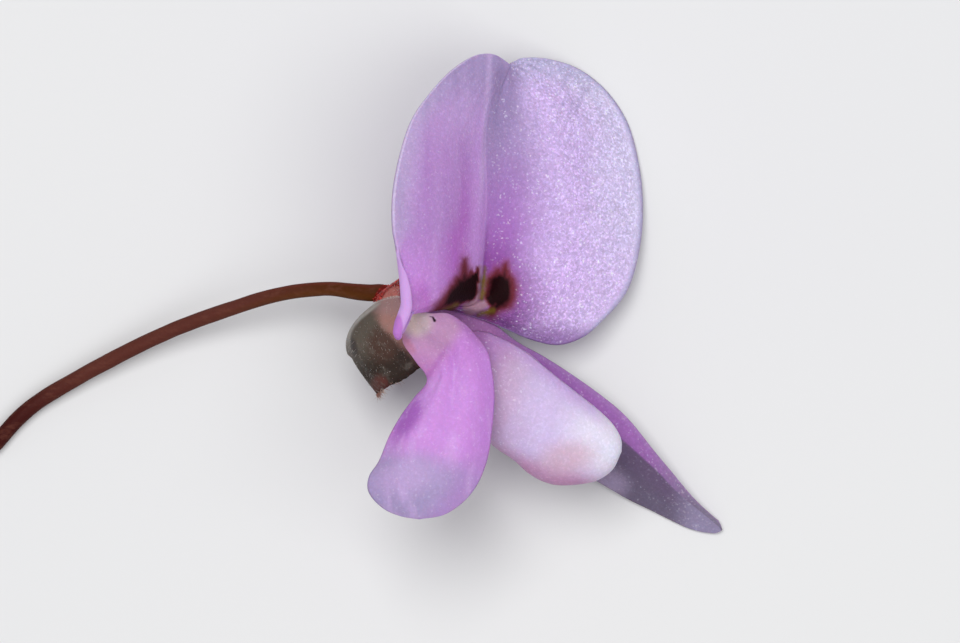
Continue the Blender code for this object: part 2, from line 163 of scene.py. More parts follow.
def ripples(points, size, seed):
    """Soft uneven relief over a grid of points, between -1 and 1, for waves of this size."""
    shift = Vector((seed * 7.3, seed * 3.1, seed * 5.7))
    flat = points.reshape(-1, 3) / size
    values = [noise.noise(Vector(p) + shift) for p in flat]
    return np.array(values).reshape(points.shape[:2])

# %% [markdown]
# The face and the back are closed by a rim. Three numbers are stored on every point for the
# painting: how far across the petal it lies, from -1 at one margin to 1 at the other, how far
# along it, from 0 at the claw to 1 at the tip, and whether it belongs to the back. Where the
# sheet is joined to a cup or a tube, across is the cosine of the angle round it.

# %% Closed sheets
MARKS = ("across", "along", "back")


def linked(work, name):
    """A bmesh as a smooth object in the scene."""
    mesh = bpy.data.meshes.new(name)
    work.to_mesh(mesh)
    work.free()
    mesh.shade_smooth()
    piece = bpy.data.objects.new(name, mesh)
    bpy.context.scene.collection.objects.link(piece)
    return piece


def closed_sheet(name, face, back, across, along, joined=False):
    """An object between two grids, with a rounded rim and its petal numbers stored."""
    rows, columns = face.shape[:2]
    steps = columns if joined else columns - 1
    work = bmesh.new()
    marks = [work.verts.layers.float.new(key) for key in MARKS]

    def points(grid, side):
        made = []
        for row in range(rows):
            line = []
            for column in range(columns):
                vert = work.verts.new(in_metres(grid[row, column]))
                for layer, value in zip(marks, (across[column], along[row], side)):
                    vert[layer] = value
                line.append(vert)
            made.append(line)
        return made

    upper, under = points(face, 0.0), points(back, 1.0)
    for row in range(rows - 1):
        for column in range(steps):
            after = (column + 1) % columns
            a, b, c, d = (row, column), (row, after), (row + 1, after), (row + 1, column)
            work.faces.new([upper[i][j] for i, j in (a, b, c, d)])
            work.faces.new([under[i][j] for i, j in (d, c, b, a)])
    for column in range(steps):
        after = (column + 1) % columns
        work.faces.new((upper[0][after], upper[0][column], under[0][column], under[0][after]))
        work.faces.new((upper[-1][column], upper[-1][after], under[-1][after], under[-1][column]))
    if not joined:
        for row in range(rows - 1):
            work.faces.new((upper[row][0], upper[row + 1][0], under[row + 1][0], under[row][0]))
            work.faces.new((upper[row + 1][-1], upper[row][-1], under[row][-1], under[row + 1][-1]))
    bmesh.ops.remove_doubles(work, verts=work.verts, dist=1e-7)
    return linked(work, name)

# %% [markdown]
# ## Shader maths as Python
#
# Node trees are easier to read as formulas. A Wire holds one output socket: adding,
# multiplying or comparing wires places the Math nodes, and make places any other node from
# its type, its settings and the values of its sockets. Most operators differ only in their
# node, so one loop gives them to the class.

# %% A socket that knows arithmetic
class Wire:
    def __init__(self, tree, socket=None):
        self.tree = tree
        self.socket = socket

    def make(self, kind, settings=None, sockets=None, out=0):
        """Places a node: settings first, then socket values or links."""
        node = self.tree.nodes.new(kind)
        for key, value in (settings or {}).items():
            setattr(node, key, value)
        for key, value in (sockets or {}).items():
            if isinstance(value, Wire):
                self.tree.links.new(value.socket, node.inputs[key])
            else:
                node.inputs[key].default_value = value
        return Wire(self.tree, node.outputs[out])

    def split(self, kind):
        """The three parts of a place or a colour."""
        node = self.make(kind, {}, {0: self}).socket.node
        return [Wire(self.tree, socket) for socket in node.outputs[:3]]

    def math(self, operation, a, b=0.0, clamp=False):
        return self.make("ShaderNodeMath", {"operation": operation, "use_clamp": clamp}, {0: a, 1: b})

    def __rsub__(self, other):
        return self.math("SUBTRACT", other, self)

    def size(self):
        return self.math("ABSOLUTE", self)

    def step(self, low, high):
        """A soft step from 0 at low to 1 at high, or falling where low is above high."""
        ends = {"From Min": low, "From Max": high}
        if low > high:
            ends = {"From Min": high, "From Max": low, "To Min": 1.0, "To Max": 0.0}
        return self.make("ShaderNodeMapRange", {"interpolation_type": "SMOOTHSTEP"}, {0: self, **ends})

    def blend(self, first, second):
        """From the first colour to the second as this value goes from 0 to 1."""
        sockets = {0: self, 6: colour_of(first), 7: colour_of(second)}
        return self.make("ShaderNodeMix", {"data_type": "RGBA"}, sockets, out=2)


def operator(kind):
    return lambda self, other: self.math(kind, self, other)


for name, kind in (
    ("__add__", "ADD"), ("__sub__", "SUBTRACT"), ("__mul__", "MULTIPLY"), ("__truediv__", "DIVIDE"),
    ("__pow__", "POWER"), ("least", "MINIMUM"), ("most", "MAXIMUM"),
):
    setattr(Wire, name, operator(kind))


def colour_of(value):
    return value if isinstance(value, Wire) else (*value, 1.0)


def layered(colour, *layers):
    """Lays colours over a first one, each as thick as its mask."""
    for mask, over in layers:
        colour = mask.blend(colour, over)
    return colour

# %% [markdown]
# ## A material sheet
#
# Every finish starts with a Principled shader and the place of the point in drawing
# millimetres, and it can read the petal numbers that the mesh carries. The scales of all
# textures are then in features per millimetre, which is easy to check on the photograph.
# Marks are drawn as soft ovals, and as drops, which are thick lines that taper.

# %% The start of a finish
class Finish:
    def __init__(self, name, roughness, soft=0.0, reach=0.0002, shine=0.5):
        """Soft is how much light enters the skin, and reach how far it goes there, in metres."""
        self.material = bpy.data.materials.new(name)
        self.material.use_nodes = True
        self.tree = self.material.node_tree
        self.shader = self.tree.nodes["Principled BSDF"]
        for key, value in (
            ("Roughness", roughness), ("Subsurface Weight", soft),
            ("Subsurface Scale", reach), ("Specular IOR Level", shine),
        ):
            self.shader.inputs[key].default_value = value
        self.start = Wire(self.tree)
        own_place = self.start.make("ShaderNodeTexCoord", out=3)
        sockets = {0: own_place, 1: (1 / MM,) * 3, 2: tuple(MIDDLE)}
        self.place = self.start.make("ShaderNodeVectorMath", {"operation": "MULTIPLY_ADD"}, sockets)
        self.x, self.y, self.z = self.place.split("ShaderNodeSeparateXYZ")

    def marks(self):
        """The numbers that the mesh carries: across, along and back."""
        return [self.start.make("ShaderNodeAttribute", {"attribute_name": key}, out=2) for key in MARKS]

    def noise(self, per_mm, detail=2.0, place=None, roughness=0.5):
        sockets = {"Vector": place or self.place, "Scale": per_mm, "Detail": detail, "Roughness": roughness}
        return self.start.make("ShaderNodeTexNoise", {}, sockets)

    def cells(self, per_mm, out=0):
        return self.start.make("ShaderNodeTexVoronoi", {}, {"Vector": self.place, "Scale": per_mm}, out)

    def moved(self, factors):
        """The place stretched along the axes, for streaky textures."""
        sockets = {0: self.place, 1: factors}
        return self.start.make("ShaderNodeVectorMath", {"operation": "MULTIPLY"}, sockets)

    def oval(self, centre, reach, turn=0.0, place=None):
        """Distance from an oval's centre in the drawing, 1 at its edge."""
        x, y = place or (self.x, self.y)
        c, s = math.cos(math.radians(turn)), math.sin(math.radians(turn))
        dx, dy = x - centre[0], y - centre[1]
        along = (dx * c + dy * s) / reach[0]
        over = (dy * c - dx * s) / reach[1]
        return (along * along + over * over) ** 0.5

    def spot(self, centre, reach, turn=0.0, edges=(1.3, 0.4), place=None):
        """A soft oval mark, from nothing at the first edge to full at the second."""
        return self.oval(centre, reach, turn, place).step(*edges)

    def drop(self, start, end, radii, place=None):
        """Distance in millimetres from a drop drawn between two points, below 0 inside it."""
        x, y = place or (self.x, self.y)
        run, rise = end[0] - start[0], end[1] - start[1]
        dx, dy = x - start[0], y - start[1]
        share = self.start.math("ADD", (dx * run + dy * rise) / (run * run + rise * rise), clamp=True)
        dx, dy = dx - share * run, dy - share * rise
        return (dx * dx + dy * dy) ** 0.5 - share * (radii[1] - radii[0]) - radii[0]

    def nearest(self, drops, place=None):
        """The smallest distance from several drops."""
        distance = self.drop(*drops[0], place)
        for shape in drops[1:]:
            distance = distance.least(self.drop(*shape, place))
        return distance

    def wear(self, colour, height=None, depth=0.01):
        """Connects what varies over the surface. The depth of the relief is in millimetres."""
        self.tree.links.new(colour.socket, self.shader.inputs["Base Color"])
        if height is not None:
            bump = self.start.make("ShaderNodeBump", {}, {"Height": height, "Distance": depth * MM})
            self.tree.links.new(bump.socket, self.shader.inputs["Normal"])
        return self.material


def dress(piece, material, node=None):
    """Gives a piece its finish, lets it ride on the flower and hides the solid of its node."""
    piece.data.materials.clear()
    piece.data.materials.append(material)
    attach(piece, "root")
    if node:
        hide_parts(node)
    print(piece.name, len(piece.data.polygons), "faces")
    return piece

# %% [markdown]
# ## The standard
#
# The tall back petal is creased along its midrib. Its right half lies open to the viewer,
# and its left half stands up towards the viewer, so it is seen foreshortened. Beside the
# crease runs a low rounded ridge with a groove on its other side. The outer edge of the
# left half is rolled over near its foot, which shows as a pale stripe.

# %% Lines of the standard
STANDARD_MIDRIB = [
    (-2.5, 0.35, 3.0), (-1.7, 0.45, 2.8), (-0.9, 0.5, 2.55), (-0.35, 0.6, 2.45), (0.0, 1.05, 2.5),
    (0.15, 2.0, 2.75), (0.25, 3.9, 3.0), (0.35, 6.8, 2.8), (1.0, 8.3, 2.2),
]
STANDARD_LEFT = [
    (-2.5, 0.4, 3.4), (-1.7, 0.45, 3.25), (-1.05, 0.42, 3.2), (-1.05, 0.4, 3.7), (-1.5, 0.33, 4.6),
    (-1.95, 0.27, 5.3), (-2.28, 0.24, 5.75), (-2.50, 0.38, 6.0), (-2.55, 0.7, 6.15),
    (-2.6, 1.3, 6.2), (-2.67, 1.9, 6.25), (-2.77, 3.0, 6.3),
    (-2.78, 3.82, 6.28), (-2.56, 5.27, 5.95), (-2.12, 6.6, 5.35), (-1.6, 7.35, 4.75),
    (-0.74, 8.22, 3.85), (0.03, 8.64, 3.0), (0.5, 8.62, 2.55), (1.0, 8.3, 2.2),
]
STANDARD_RIGHT = [
    (-2.5, 0.35, 2.6), (-1.3, 0.4, 2.2), (0.0, 0.08, 1.95), (0.81, -0.24, 1.86), (1.61, -0.58, 1.78),
    (2.6, -0.76, 1.65), (3.35, -0.5, 1.5), (4.02, 0.07, 1.25), (4.72, 0.9, 1.0), (5.17, 2.3, 0.7),
    (5.29, 3.45, 0.45), (5.17, 5.05, 0.22), (4.7, 6.65, 0.13), (4.1, 7.5, 0.14), (3.2, 8.2, 0.35),
    (2.3, 8.5, 0.85), (1.6, 8.55, 1.45), (1.25, 8.5, 1.8), (1.0, 8.3, 2.2),
]
STANDARD_CLAW_POINTS = (2, 2, 1)
STANDARD_SWELLS = (0.55, 0.5)

# %% [markdown]
# The face gets a ridge beside the midrib, a groove on the other side, soft waves and a fan
# of fine veins. This relief follows a number along the petal that rises more slowly about a
# third of the way up, beside the hem, so it changes gently there.

# %% Shape the standard
standard_across = np.concatenate([np.linspace(-1.0, -0.05, 48), np.linspace(0.0, 1.0, 56)])
even = np.linspace(0.0, 1.0, 2001)
crowding = np.cumsum(1.0 + 3.0 * np.exp(-(((even - 0.31) / 0.05) ** 2)))
standard_along = np.interp(np.linspace(crowding[0], crowding[-1], 211), crowding, even)
standard_lines = (STANDARD_MIDRIB, STANDARD_LEFT, STANDARD_RIGHT)
standard_face = blade_grid(
    standard_lines, STANDARD_CLAW_POINTS, len(standard_along) - 1, standard_across, STANDARD_SWELLS
)
u, t = np.meshgrid(standard_across, standard_along)
blade = ease(t, 0.12, 0.3) * ease(t, 1.0, 0.82) * ease(1 - np.abs(u), 0.0, 0.12)
ridge = 0.06 * np.exp(-(((u + 0.07) / 0.08) ** 2)) * ease(t, 0.85, 0.4)
ridge -= 0.15 * np.exp(-(((u - 0.1) / 0.1) ** 2)) * (0.5 + 0.5 * ease(t, 0.95, 0.5))
wave = 0.07 * ripples(standard_face, 1.6, 3) * ease(np.abs(u), 0.15, 0.6)
fan = np.sin(np.abs(u) * 40.0 + 2.0 * ripples(standard_face, 0.9, 5)) * ease(t, 0.5, 0.75)
fan *= np.where(u > 0, 0.016, 0.006)
standard_face = standard_face + outward(standard_face) * (blade * (ridge + wave + fan))[..., None]
print("the standard's grid:", standard_face.shape[:2])

# %% [markdown]
# Near its foot the margin of the left half is rolled over like a hem and ends in a small
# lobe. Each row is measured along its own curve: the flat part ends one radius before the
# margin, and the last columns are laid round an arc, so the outline stays where it was. A
# row that turns only a little is mixed with its unrolled self, so the hem grows slowly.
# The lobe is drawn out of the corner of the margin.

# %% Roll the margin over and draw out the lobe
ROLL_COLUMNS = 14
ROLL_HEIGHTS = (0.2, 0.45, 0.85, 1.5, 2.2, 3.2)
ROLL_RADII = (0.07, 0.08, 0.08, 0.07, 0.06, 0.05)
ROLL_TURNS = (200.0, 215.0, 205.0, 170.0, 80.0, 0.0)
HEM_CORNER = (-2.42, 0.30, 5.9)
LOBE_PULL = np.array((-0.37, -0.86, 0.1))


def roll_row(row, up, radius, turn, columns):
    """One row with its first columns laid round an arc over the face."""
    middle = len(row) // 2
    at = chord_lengths(row[: middle + 1])
    share = (at[columns:] - at[columns]) / (at[-1] - at[columns])
    mix = float(ease(turn, 0.0, 1.6))
    end = radius + PETAL_THICK * mix
    wanted = end + (at[-1] - end) * share
    rolled = row.copy()
    for axis in range(3):
        rolled[columns : middle + 1, axis] = np.interp(wanted, at, row[: middle + 1, axis])
    away = row[0] - rolled[columns]
    away /= np.linalg.norm(away) + 1e-12
    for column in range(columns):
        angle = turn * (columns - column) / columns
        around = away * math.sin(angle) + up * (1 - math.cos(angle))
        rolled[column] = rolled[columns] + around * radius
    return rolled * mix + row * (1 - mix)


left_edge = standard_face[:, 0].copy()
corner = int(np.argmin(np.linalg.norm(left_edge - HEM_CORNER, axis=1)))
reach = chord_lengths(left_edge) - chord_lengths(left_edge)[corner]
roll = np.interp(left_edge[:, 1], ROLL_HEIGHTS, ROLL_RADII)
turns = np.radians(np.interp(left_edge[:, 1], ROLL_HEIGHTS, ROLL_TURNS))
turns *= ease(reach, -0.45, 0.0)
ups = outward(standard_face)[:, ROLL_COLUMNS]
for row in range(1, len(roll)):
    if turns[row] > 0:
        standard_face[row] = roll_row(standard_face[row], ups[row], roll[row], turns[row], ROLL_COLUMNS)
sideways = ease(reach, -0.24, 0.0) * ease(reach, 0.49, 0.17)
downwards = ease(reach, -0.24, 0.0) * np.exp(-((np.maximum(reach - 0.17, 0.0) / 0.28) ** 2))
pulled = np.stack([sideways, downwards, downwards], axis=1)[:, None, :]
pulled = pulled * ease(np.arange(len(standard_across)), ROLL_COLUMNS + 8, 3)[None, :, None]
standard_face = standard_face + pulled * LOBE_PULL
standard_back = standard_face - outward(standard_face, 3) * PETAL_THICK
standard = closed_sheet("standard_petal", standard_face, standard_back, standard_across, standard_along)
print("the margin rolls over from row", corner, "on, at most", round(float(roll.max()), 2), "mm wide")

# %% [markdown]
# ## Colours of the standard
#
# The petal is pale lilac, bluer towards its outer edge and a stronger pink-purple towards
# its foot and along the crease, where painted shade also darkens the groove. Its skin is made
# of tiny domed cells that sparkle, so a cell texture varies the colour, paints a few cells
# near white as painted glints, and raises the relief.

# %% Petal skin that sparkles
# painted glints: the near white colour of the highlights on single cells
PAINTED_GLINT = (0.93, 0.90, 1.0)
GRAIN = 13.0


def petal_skin(finish, colour, contrast, painted_glints):
    """Adds domed cells to a colour and paints glints, small highlights, on a few of them. Contrast and
    glint strength are numbers or wires.
    """
    random, second, _ = finish.cells(GRAIN, out=1).split("ShaderNodeSeparateColor")
    mottle = finish.noise(5.0, 4.0, roughness=0.65)
    fibres = finish.noise(11.0, 2.0, roughness=0.6)
    value = (random * 0.4 + mottle * 0.7 + fibres.step(0.5, 0.66) * 0.55 - 0.70) * contrast + 1.0
    skin = finish.start.make("ShaderNodeHueSaturation", {}, {"Value": value, "Color": colour})
    tiny = finish.cells(GRAIN * 1.5, out=1).split("ShaderNodeSeparateColor")[0]
    # painted glints: a few cells lifted to near white
    painted_glint_mask = (tiny.step(0.86, 0.99) + second.step(0.97, 1.0) * 0.4) * mottle.step(0.42, 0.60) * painted_glints
    return painted_glint_mask.blend(skin, PAINTED_GLINT), 1.0 - finish.cells(GRAIN)

# %% [markdown]
# Two dark maroon eye spots with ragged upper edges sit on both sides of the midrib. They are
# unions of drops, shaken by streaks that run up the petal. Wider steps of the same distance
# give their red rim and their halo.

# %% Eye spots
MIDRIB_DROPS = [
    ((-0.32, 0.44), (-0.10, 0.84), (0.22, 0.05)), ((-0.10, 0.84), (0.0, 1.75), (0.05, 0.02)),
    ((-0.20, 0.46), (0.16, 0.56), (0.18, 0.10)),
]
SPOT_DROPS = [
    ((-1.30, 0.42), (-0.50, 1.04), (0.12, 0.42)), ((-1.48, 0.27), (-1.20, 0.48), (0.06, 0.14)),
    ((-0.50, 1.06), (-0.24, 1.40), (0.38, 0.20)), ((-0.50, 1.35), (-0.50, 1.98), (0.18, 0.02)),
    ((-0.10, 1.35), (-0.08, 1.74), (0.08, 0.02)), ((0.63, 0.88), (0.66, 1.14), (0.48, 0.46)),
    ((0.74, 0.75), (0.36, 0.28), (0.28, 0.10)), ((0.76, 1.25), (0.83, 1.85), (0.24, 0.02)),
    ((0.50, 1.25), (0.56, 1.62), (0.20, 0.05)),
]
OLIVE_DROPS = [
    ((0.06, 0.76), (0.13, 1.45), (0.07, 0.05)), ((0.13, 1.45), (0.17, 1.75), (0.05, 0.01)),
    ((-0.06, 0.22), (0.42, 0.36), (0.04, 0.06)), ((-1.30, 0.27), (-0.75, 0.54), (0.02, 0.04)),
]


def eye_spots(finish):
    """Masks of the dark eye spots, their red rim and soft halo, olive lines and mauve midrib."""
    streaks = finish.noise(6.0, 2.0, finish.moved((1.0, 0.2, 0.3))) - 0.5
    clouds = finish.noise(3.5) - 0.5
    x = finish.x + streaks * 0.06
    y = finish.y + streaks * (finish.y.step(1.0, 1.7) * 0.30 + 0.04)
    midrib = finish.nearest(MIDRIB_DROPS, (x, finish.y))
    spots = finish.nearest(SPOT_DROPS, (x, y)) + clouds * 0.12 + (finish.noise(9.0) - 0.5) * 0.06
    spots = spots * (midrib.step(0.24, 0.04) * 2.0 + 1.0)
    side = finish.x.step(0.80, 1.05) * 0.06 + finish.y.step(1.3, 1.7) * 0.06
    dark = (spots + side + finish.x.step(-0.9, -1.3) * 0.10).step(0.04, -0.21)
    olive = finish.nearest(OLIVE_DROPS, (finish.x + streaks * 0.12, finish.y))
    olive = (olive + clouds * 0.12).step(0.11, -0.06)
    return dark, spots.step(0.19, -0.07), spots.step(0.32, 0.0), olive, midrib.step(0.10, -0.04)

# %% [markdown]
# Each half is a first colour with others laid over it, from the broad to the fine. A mask
# says where and how strongly each one shows: by height, by nearness to the margin or the
# crease, or round a place. Drift makes their edges uneven.

# %% Colours of the two halves
paint = Finish("standard petal", 0.6, soft=0.15, reach=0.0003, shine=0.08)
x, y = paint.x, paint.y
across, along, back = paint.marks()
outwards = across.size()
drift = (paint.noise(0.6) - 0.5) * 0.3
# painted shade beside the crease, where the open half turns down into the groove
groove_shade = (outwards + drift * 0.4).step(0.49, 0.12)
# painted shade along the lower margin of the open half
low_margin_shade = (y + (x - 2.4).size() * 0.22).step(0.35, -0.55)
right = layered(
    (outwards + drift).step(0.55, 1.0).blend((0.63, 0.47, 0.82), (0.69, 0.62, 0.88)),
    ((y + drift * 2.0).step(7.2, 8.7), (0.50, 0.455, 0.70)),
    (y.step(3.2, 0.8) * 0.6, (0.66, 0.45, 0.84)),
    # painted shade in the groove beside the crease
    (groove_shade, y.step(2.5, 7.0).blend((0.36, 0.155, 0.475), (0.345, 0.255, 0.475))),
    (paint.spot((0.0, 0.6), (1.0, 1.0), edges=(2.8, 0.9)) * 0.9, (0.235, 0.055, 0.295)),
    (outwards.step(0.955, 0.99), (0.50, 0.45, 0.69)),
    (low_margin_shade * 0.8, (0.27, 0.13, 0.37)),
)
# painted highlight along the low ridge beside the crease
crest_highlight = (x - y * 0.06 + 0.20 + drift * 0.1).size().step(0.16, 0.0) * y.step(3.0, 5.0)
bands = paint.noise(2.2, 2.0, paint.moved((1.0, 0.12, 0.3)))
left = layered(
    (outwards + drift * 0.5).step(0.62, 0.98).blend((0.44, 0.235, 0.57), (0.46, 0.35, 0.60)),
    (y.step(5.2, 7.0) * outwards.step(0.9, 0.5), (0.50, 0.32, 0.65)),
    (y.step(3.4, 0.8), (0.57, 0.265, 0.70)),
    (outwards.step(0.45, 0.2) * y.step(6.0, 2.5), (0.43, 0.125, 0.515)),
    (paint.spot((-1.85, 0.6), (0.40, 0.8), 10) * 0.6, (0.48, 0.15, 0.54)),
    (outwards.step(0.30, 0.06) * 0.6, (0.60, 0.37, 0.78)),
    (y.step(6.4, 8.3), (0.36, 0.275, 0.51)),
    (crest_highlight * 0.5, (0.58, 0.43, 0.73)),
    (bands.step(0.42, 0.62) * 0.16, (0.60, 0.42, 0.74)),
    # a thin painted highlight along the left margin
    (outwards.step(0.975, 0.99) * y.step(1.5, 4.0) * 0.6, (0.66, 0.58, 0.80)),
)
print("the standard's halves are painted with", len(paint.tree.nodes), "nodes")

# %% [markdown]
# Over both halves go painted shade in the valley near the top, the fan of fine rays and long
# streaks. Then come the sparkling skin with its painted glints, strongest on the open half,
# the eye spots, and the paler hem and lobe.

# %% Paint the standard
# painted shade in the valley of the crease near the top
valley_shade = x - y * 0.17 + 0.60 + drift * 0.2
valley_shade = valley_shade.step(0.90, 0.15) * valley_shade.step(-0.42, -0.12)
valley_shade = valley_shade * y.step(5.0, 6.8) * y.step(8.7, 7.9)
ray = (x - 0.8) / (y - 3.3).most(0.3)
rays = paint.noise(11.0, 1.0, paint.start.make("ShaderNodeCombineXYZ", {}, {0: ray, 1: y * 0.03}))
upper = y.step(5.2, 6.6) * outwards.step(0.98, 0.85) * ray.step(0.1, 0.25) * ray.step(1.3, 0.8)
streak = paint.noise(2.6, 2.0, paint.moved((1.0, 0.14, 1.0)))
colour = layered(
    across.step(-0.02, 0.02).blend(left, right),
    (valley_shade * 0.85, (0.30, 0.215, 0.42)),
    (rays.step(0.54, 0.64) * upper * 0.30, (0.40, 0.33, 0.55)),
    (streak.step(0.5, 0.75) * along.step(0.5, 0.9) * 0.2, (0.42, 0.33, 0.60)),
)
open_half = across.step(0.08, 0.62) * outwards.step(0.985, 0.93)
# painted glints, strongest on the open half
painted_glints = open_half * 0.36 + across.step(0.0, 0.1) * 0.18 + 0.16
skin, dome = petal_skin(paint, colour, open_half * 0.44 + 0.18, painted_glints)
dark, rim, halo, olive, mauve = eye_spots(paint)
hem_side = outwards.step(0.72, 0.80) * x.step(-2.0, -2.2) * y.step(3.0, 1.2)
skin = layered(
    skin,
    (mauve * 0.85, (0.40, 0.225, 0.275)),
    (halo * 0.55, (0.31, 0.09, 0.17)),
    (rim * 0.93, (0.145, 0.018, 0.023)),
    (olive * 0.92, (0.17, 0.11, 0.012)),
    (dark * (1.0 - olive * 0.7), (0.011, 0.001, 0.002)),
    (hem_side * 0.9, (0.61, 0.36, 0.75)),
    (paint.spot((-2.68, -0.25), (0.20, 0.48), -6, (1.15, 0.8)) * 0.85, (0.48, 0.17, 0.58)),
    (back * (1.0 - hem_side) * 0.6, (0.52, 0.38, 0.66)),
)
standard_material = paint.wear(skin, dome * 0.5 + paint.noise(9.0) * 0.5, 0.014)
dress(standard, standard_material, "standard")

# %% [markdown]
# ## The two wings
#
# The wings are the side petals. The right one hangs towards the viewer over the calyx: it
# starts as a narrow pale claw in the throat and widens to a rounded blade. The left one
# lies behind the keel and is folded lengthwise, so a magenta strip shows above the fold
# and the shaded inner face below it.

# %% Lines of the right wing
WING_RIGHT_MIDRIB = [
    (-2.3, 0.2, 4.5), (-1.75, -0.25, 4.95), (-0.95, -1.0, 5.45), (-0.9, -2.55, 5.95),
    (-1.35, -4.15, 6.35), (-1.75, -5.45, 6.5), (-1.95, -6.35, 6.4),
]
WING_RIGHT_UPPER = [
    (-2.2, 0.45, 4.45), (-1.6, 0.27, 4.75), (-1.05, 0.27, 4.85), (-0.58, 0.0, 5.0), (-0.1, -0.48, 5.1),
    (0.25, -0.95, 5.15), (0.41, -1.65, 5.2), (0.46, -2.65, 5.3), (0.40, -3.55, 5.45),
    (0.2, -4.6, 5.7), (-0.45, -5.7, 6.05), (-1.15, -6.2, 6.3), (-1.95, -6.35, 6.4),
]
WING_RIGHT_LOWER = [
    (-2.4, -0.05, 4.6), (-2.45, -0.3, 4.85), (-2.5, -0.6, 5.1), (-2.1, -1.25, 5.35), (-1.72, -1.88, 5.45),
    (-2.12, -2.45, 5.5), (-2.58, -3.08, 5.6), (-2.94, -3.7, 5.7), (-3.29, -4.5, 5.85),
    (-3.58, -4.97, 5.95), (-3.62, -5.3, 6.0), (-3.13, -5.98, 6.2), (-2.55, -6.25, 6.3), (-1.95, -6.35, 6.4),
]

# %% [markdown]
# The blade bulges towards the viewer on both sides of its midrib, with one shallow fold near
# its neck and soft waves further out.

# %% Shape the right wing
WING_CLAW_POINTS = (1, 1, 1)
WING_SWELLS = (0.35, 0.35)
wing_across = np.linspace(-1.0, 1.0, 61)
wing_along = np.linspace(0.0, 1.0, 91)
wing_lines = (WING_RIGHT_MIDRIB, WING_RIGHT_UPPER, WING_RIGHT_LOWER)
wing_face = blade_grid(wing_lines, WING_CLAW_POINTS, len(wing_along) - 1, wing_across, WING_SWELLS)
u, t = np.meshgrid(wing_across, wing_along)
fold = -0.10 * np.exp(-(((u - 0.6) / 0.22) ** 2)) * ease(t, 0.2, 0.34) * ease(t, 0.62, 0.42)
wave = 0.05 * ripples(wing_face, 1.1, 8) * ease(t, 0.2, 0.4) * ease(t, 1.0, 0.85)
wing_face = wing_face + outward(wing_face) * (fold + wave)[..., None]
wing_back = wing_face - outward(wing_face, 4) * PETAL_THICK
wing_right = closed_sheet("wing_right_petal", wing_face, wing_back, wing_across, wing_along)

# %% [markdown]
# The blade is pink-violet with a paler end, a dark blotch on its left side and faint veins.
# Its claw is pinker, with painted shade along a fold near its neck and along its top edge.
# The throat where it comes out of the calyx is a greyish cream, with painted light on its
# left where the hem shades it, and one dark speck.

# %% Paint the right wing
paint = Finish("right wing petal", 0.6, soft=0.15, reach=0.0003, shine=0.2)
x, y = paint.x, paint.y
_, _, back = paint.marks()
drift = paint.noise(0.9) - 0.5
veins = paint.noise(2.4, 3.0, paint.moved((1.0, 0.25, 1.0)))
edge = (x - y * 0.10 + drift * 0.2).step(-0.35, 0.55) * y.step(-5.6, -3.6)
low_edge = (x * 0.6 - y * 0.5 + drift * 0.2).step(1.75, 2.5) * y.step(-3.6, -4.6)
pale = paint.spot((-2.4, -4.95), (1.05, 0.62), 8, (1.5, 0.3), (x + drift * 0.2, y))
blotch = paint.spot((-2.28, -3.1), (0.34, 0.95), -32, (1.4, 0.3), (x + drift * 0.15, y))
seam = (x + 1.10) * 0.84 - (y + 0.85) * 0.54
claw = (seam + drift * 0.15).step(0.40, -0.16) * y.step(-2.4, -1.6)
# painted shade along the shallow fold near the wing's neck
fold_shade = (seam - 0.02).size().step(0.16, 0.0) * y.step(-0.5, -1.2) * y.step(-3.0, -2.0)
# painted shade along the wing's top edge
top_edge_shade = (x + y * 0.9).step(-0.98, -0.60) * y.step(-1.6, -0.3)
# the throat is greyish cream, with painted light on its left, where the hem shades it
throat = paint.spot((-2.0, 0.0), (0.52, 0.50), -15, (1.3, 0.5), (x + drift * 0.1, y))
tip = (y + x * 0.25 + drift).step(-4.1, -5.7)
blade = layered(
    tip.blend((0.58, 0.27, 0.70), (0.36, 0.284, 0.507)),
    ((y + drift).step(-2.6, -0.6), (0.53, 0.22, 0.62)),
    (edge, (0.56, 0.24, 0.70)),
    (low_edge * 0.7, (0.44, 0.24, 0.58)),
    (pale * 0.9, (0.475, 0.340, 0.615)),
    (blotch * 0.9, (0.33, 0.10, 0.45)),
    (veins.step(0.48, 0.70) * 0.30, (0.66, 0.44, 0.80)),
    (claw, y.step(-1.9, -0.4).blend((0.50, 0.20, 0.51), (0.49, 0.27, 0.46))),
    (paint.spot((-2.3, -0.75), (0.16, 0.40), 35) * 0.5, (0.50, 0.17, 0.24)),
    (fold_shade * 0.5, (0.38, 0.12, 0.44)),
    (top_edge_shade * 0.7, (0.38, 0.15, 0.43)),
    # greyish cream throat, painted lighter on its left side against the shade of the hem
    (throat * 0.95, x.step(-2.25, -1.75).blend((0.74, 0.59, 0.54), (0.55, 0.43, 0.46))),
)
# faint painted glints on the wing
skin, dome = petal_skin(paint, blade, 0.13, 0.15)
speck = paint.nearest([
    ((-1.61, 0.16), (-1.52, 0.14), (0.01, 0.02)), ((-1.52, 0.14), (-1.46, 0.03), (0.025, 0.045)),
])
skin = layered(
    skin,
    ((speck + drift * 0.03).step(0.03, -0.02), (0.02, 0.006, 0.012)),
    (back * 0.5, (0.50, 0.32, 0.62)),
)
wing_material = paint.wear(skin, dome * 0.4 + paint.noise(7.0) * 0.6)
dress(wing_right, wing_material, "wing_right")

# %% [markdown]
# The left wing is folded along its midrib, which is the long line that can be followed in the
# photograph. Its two margins lie on both sides of that line, with a point for each bend.

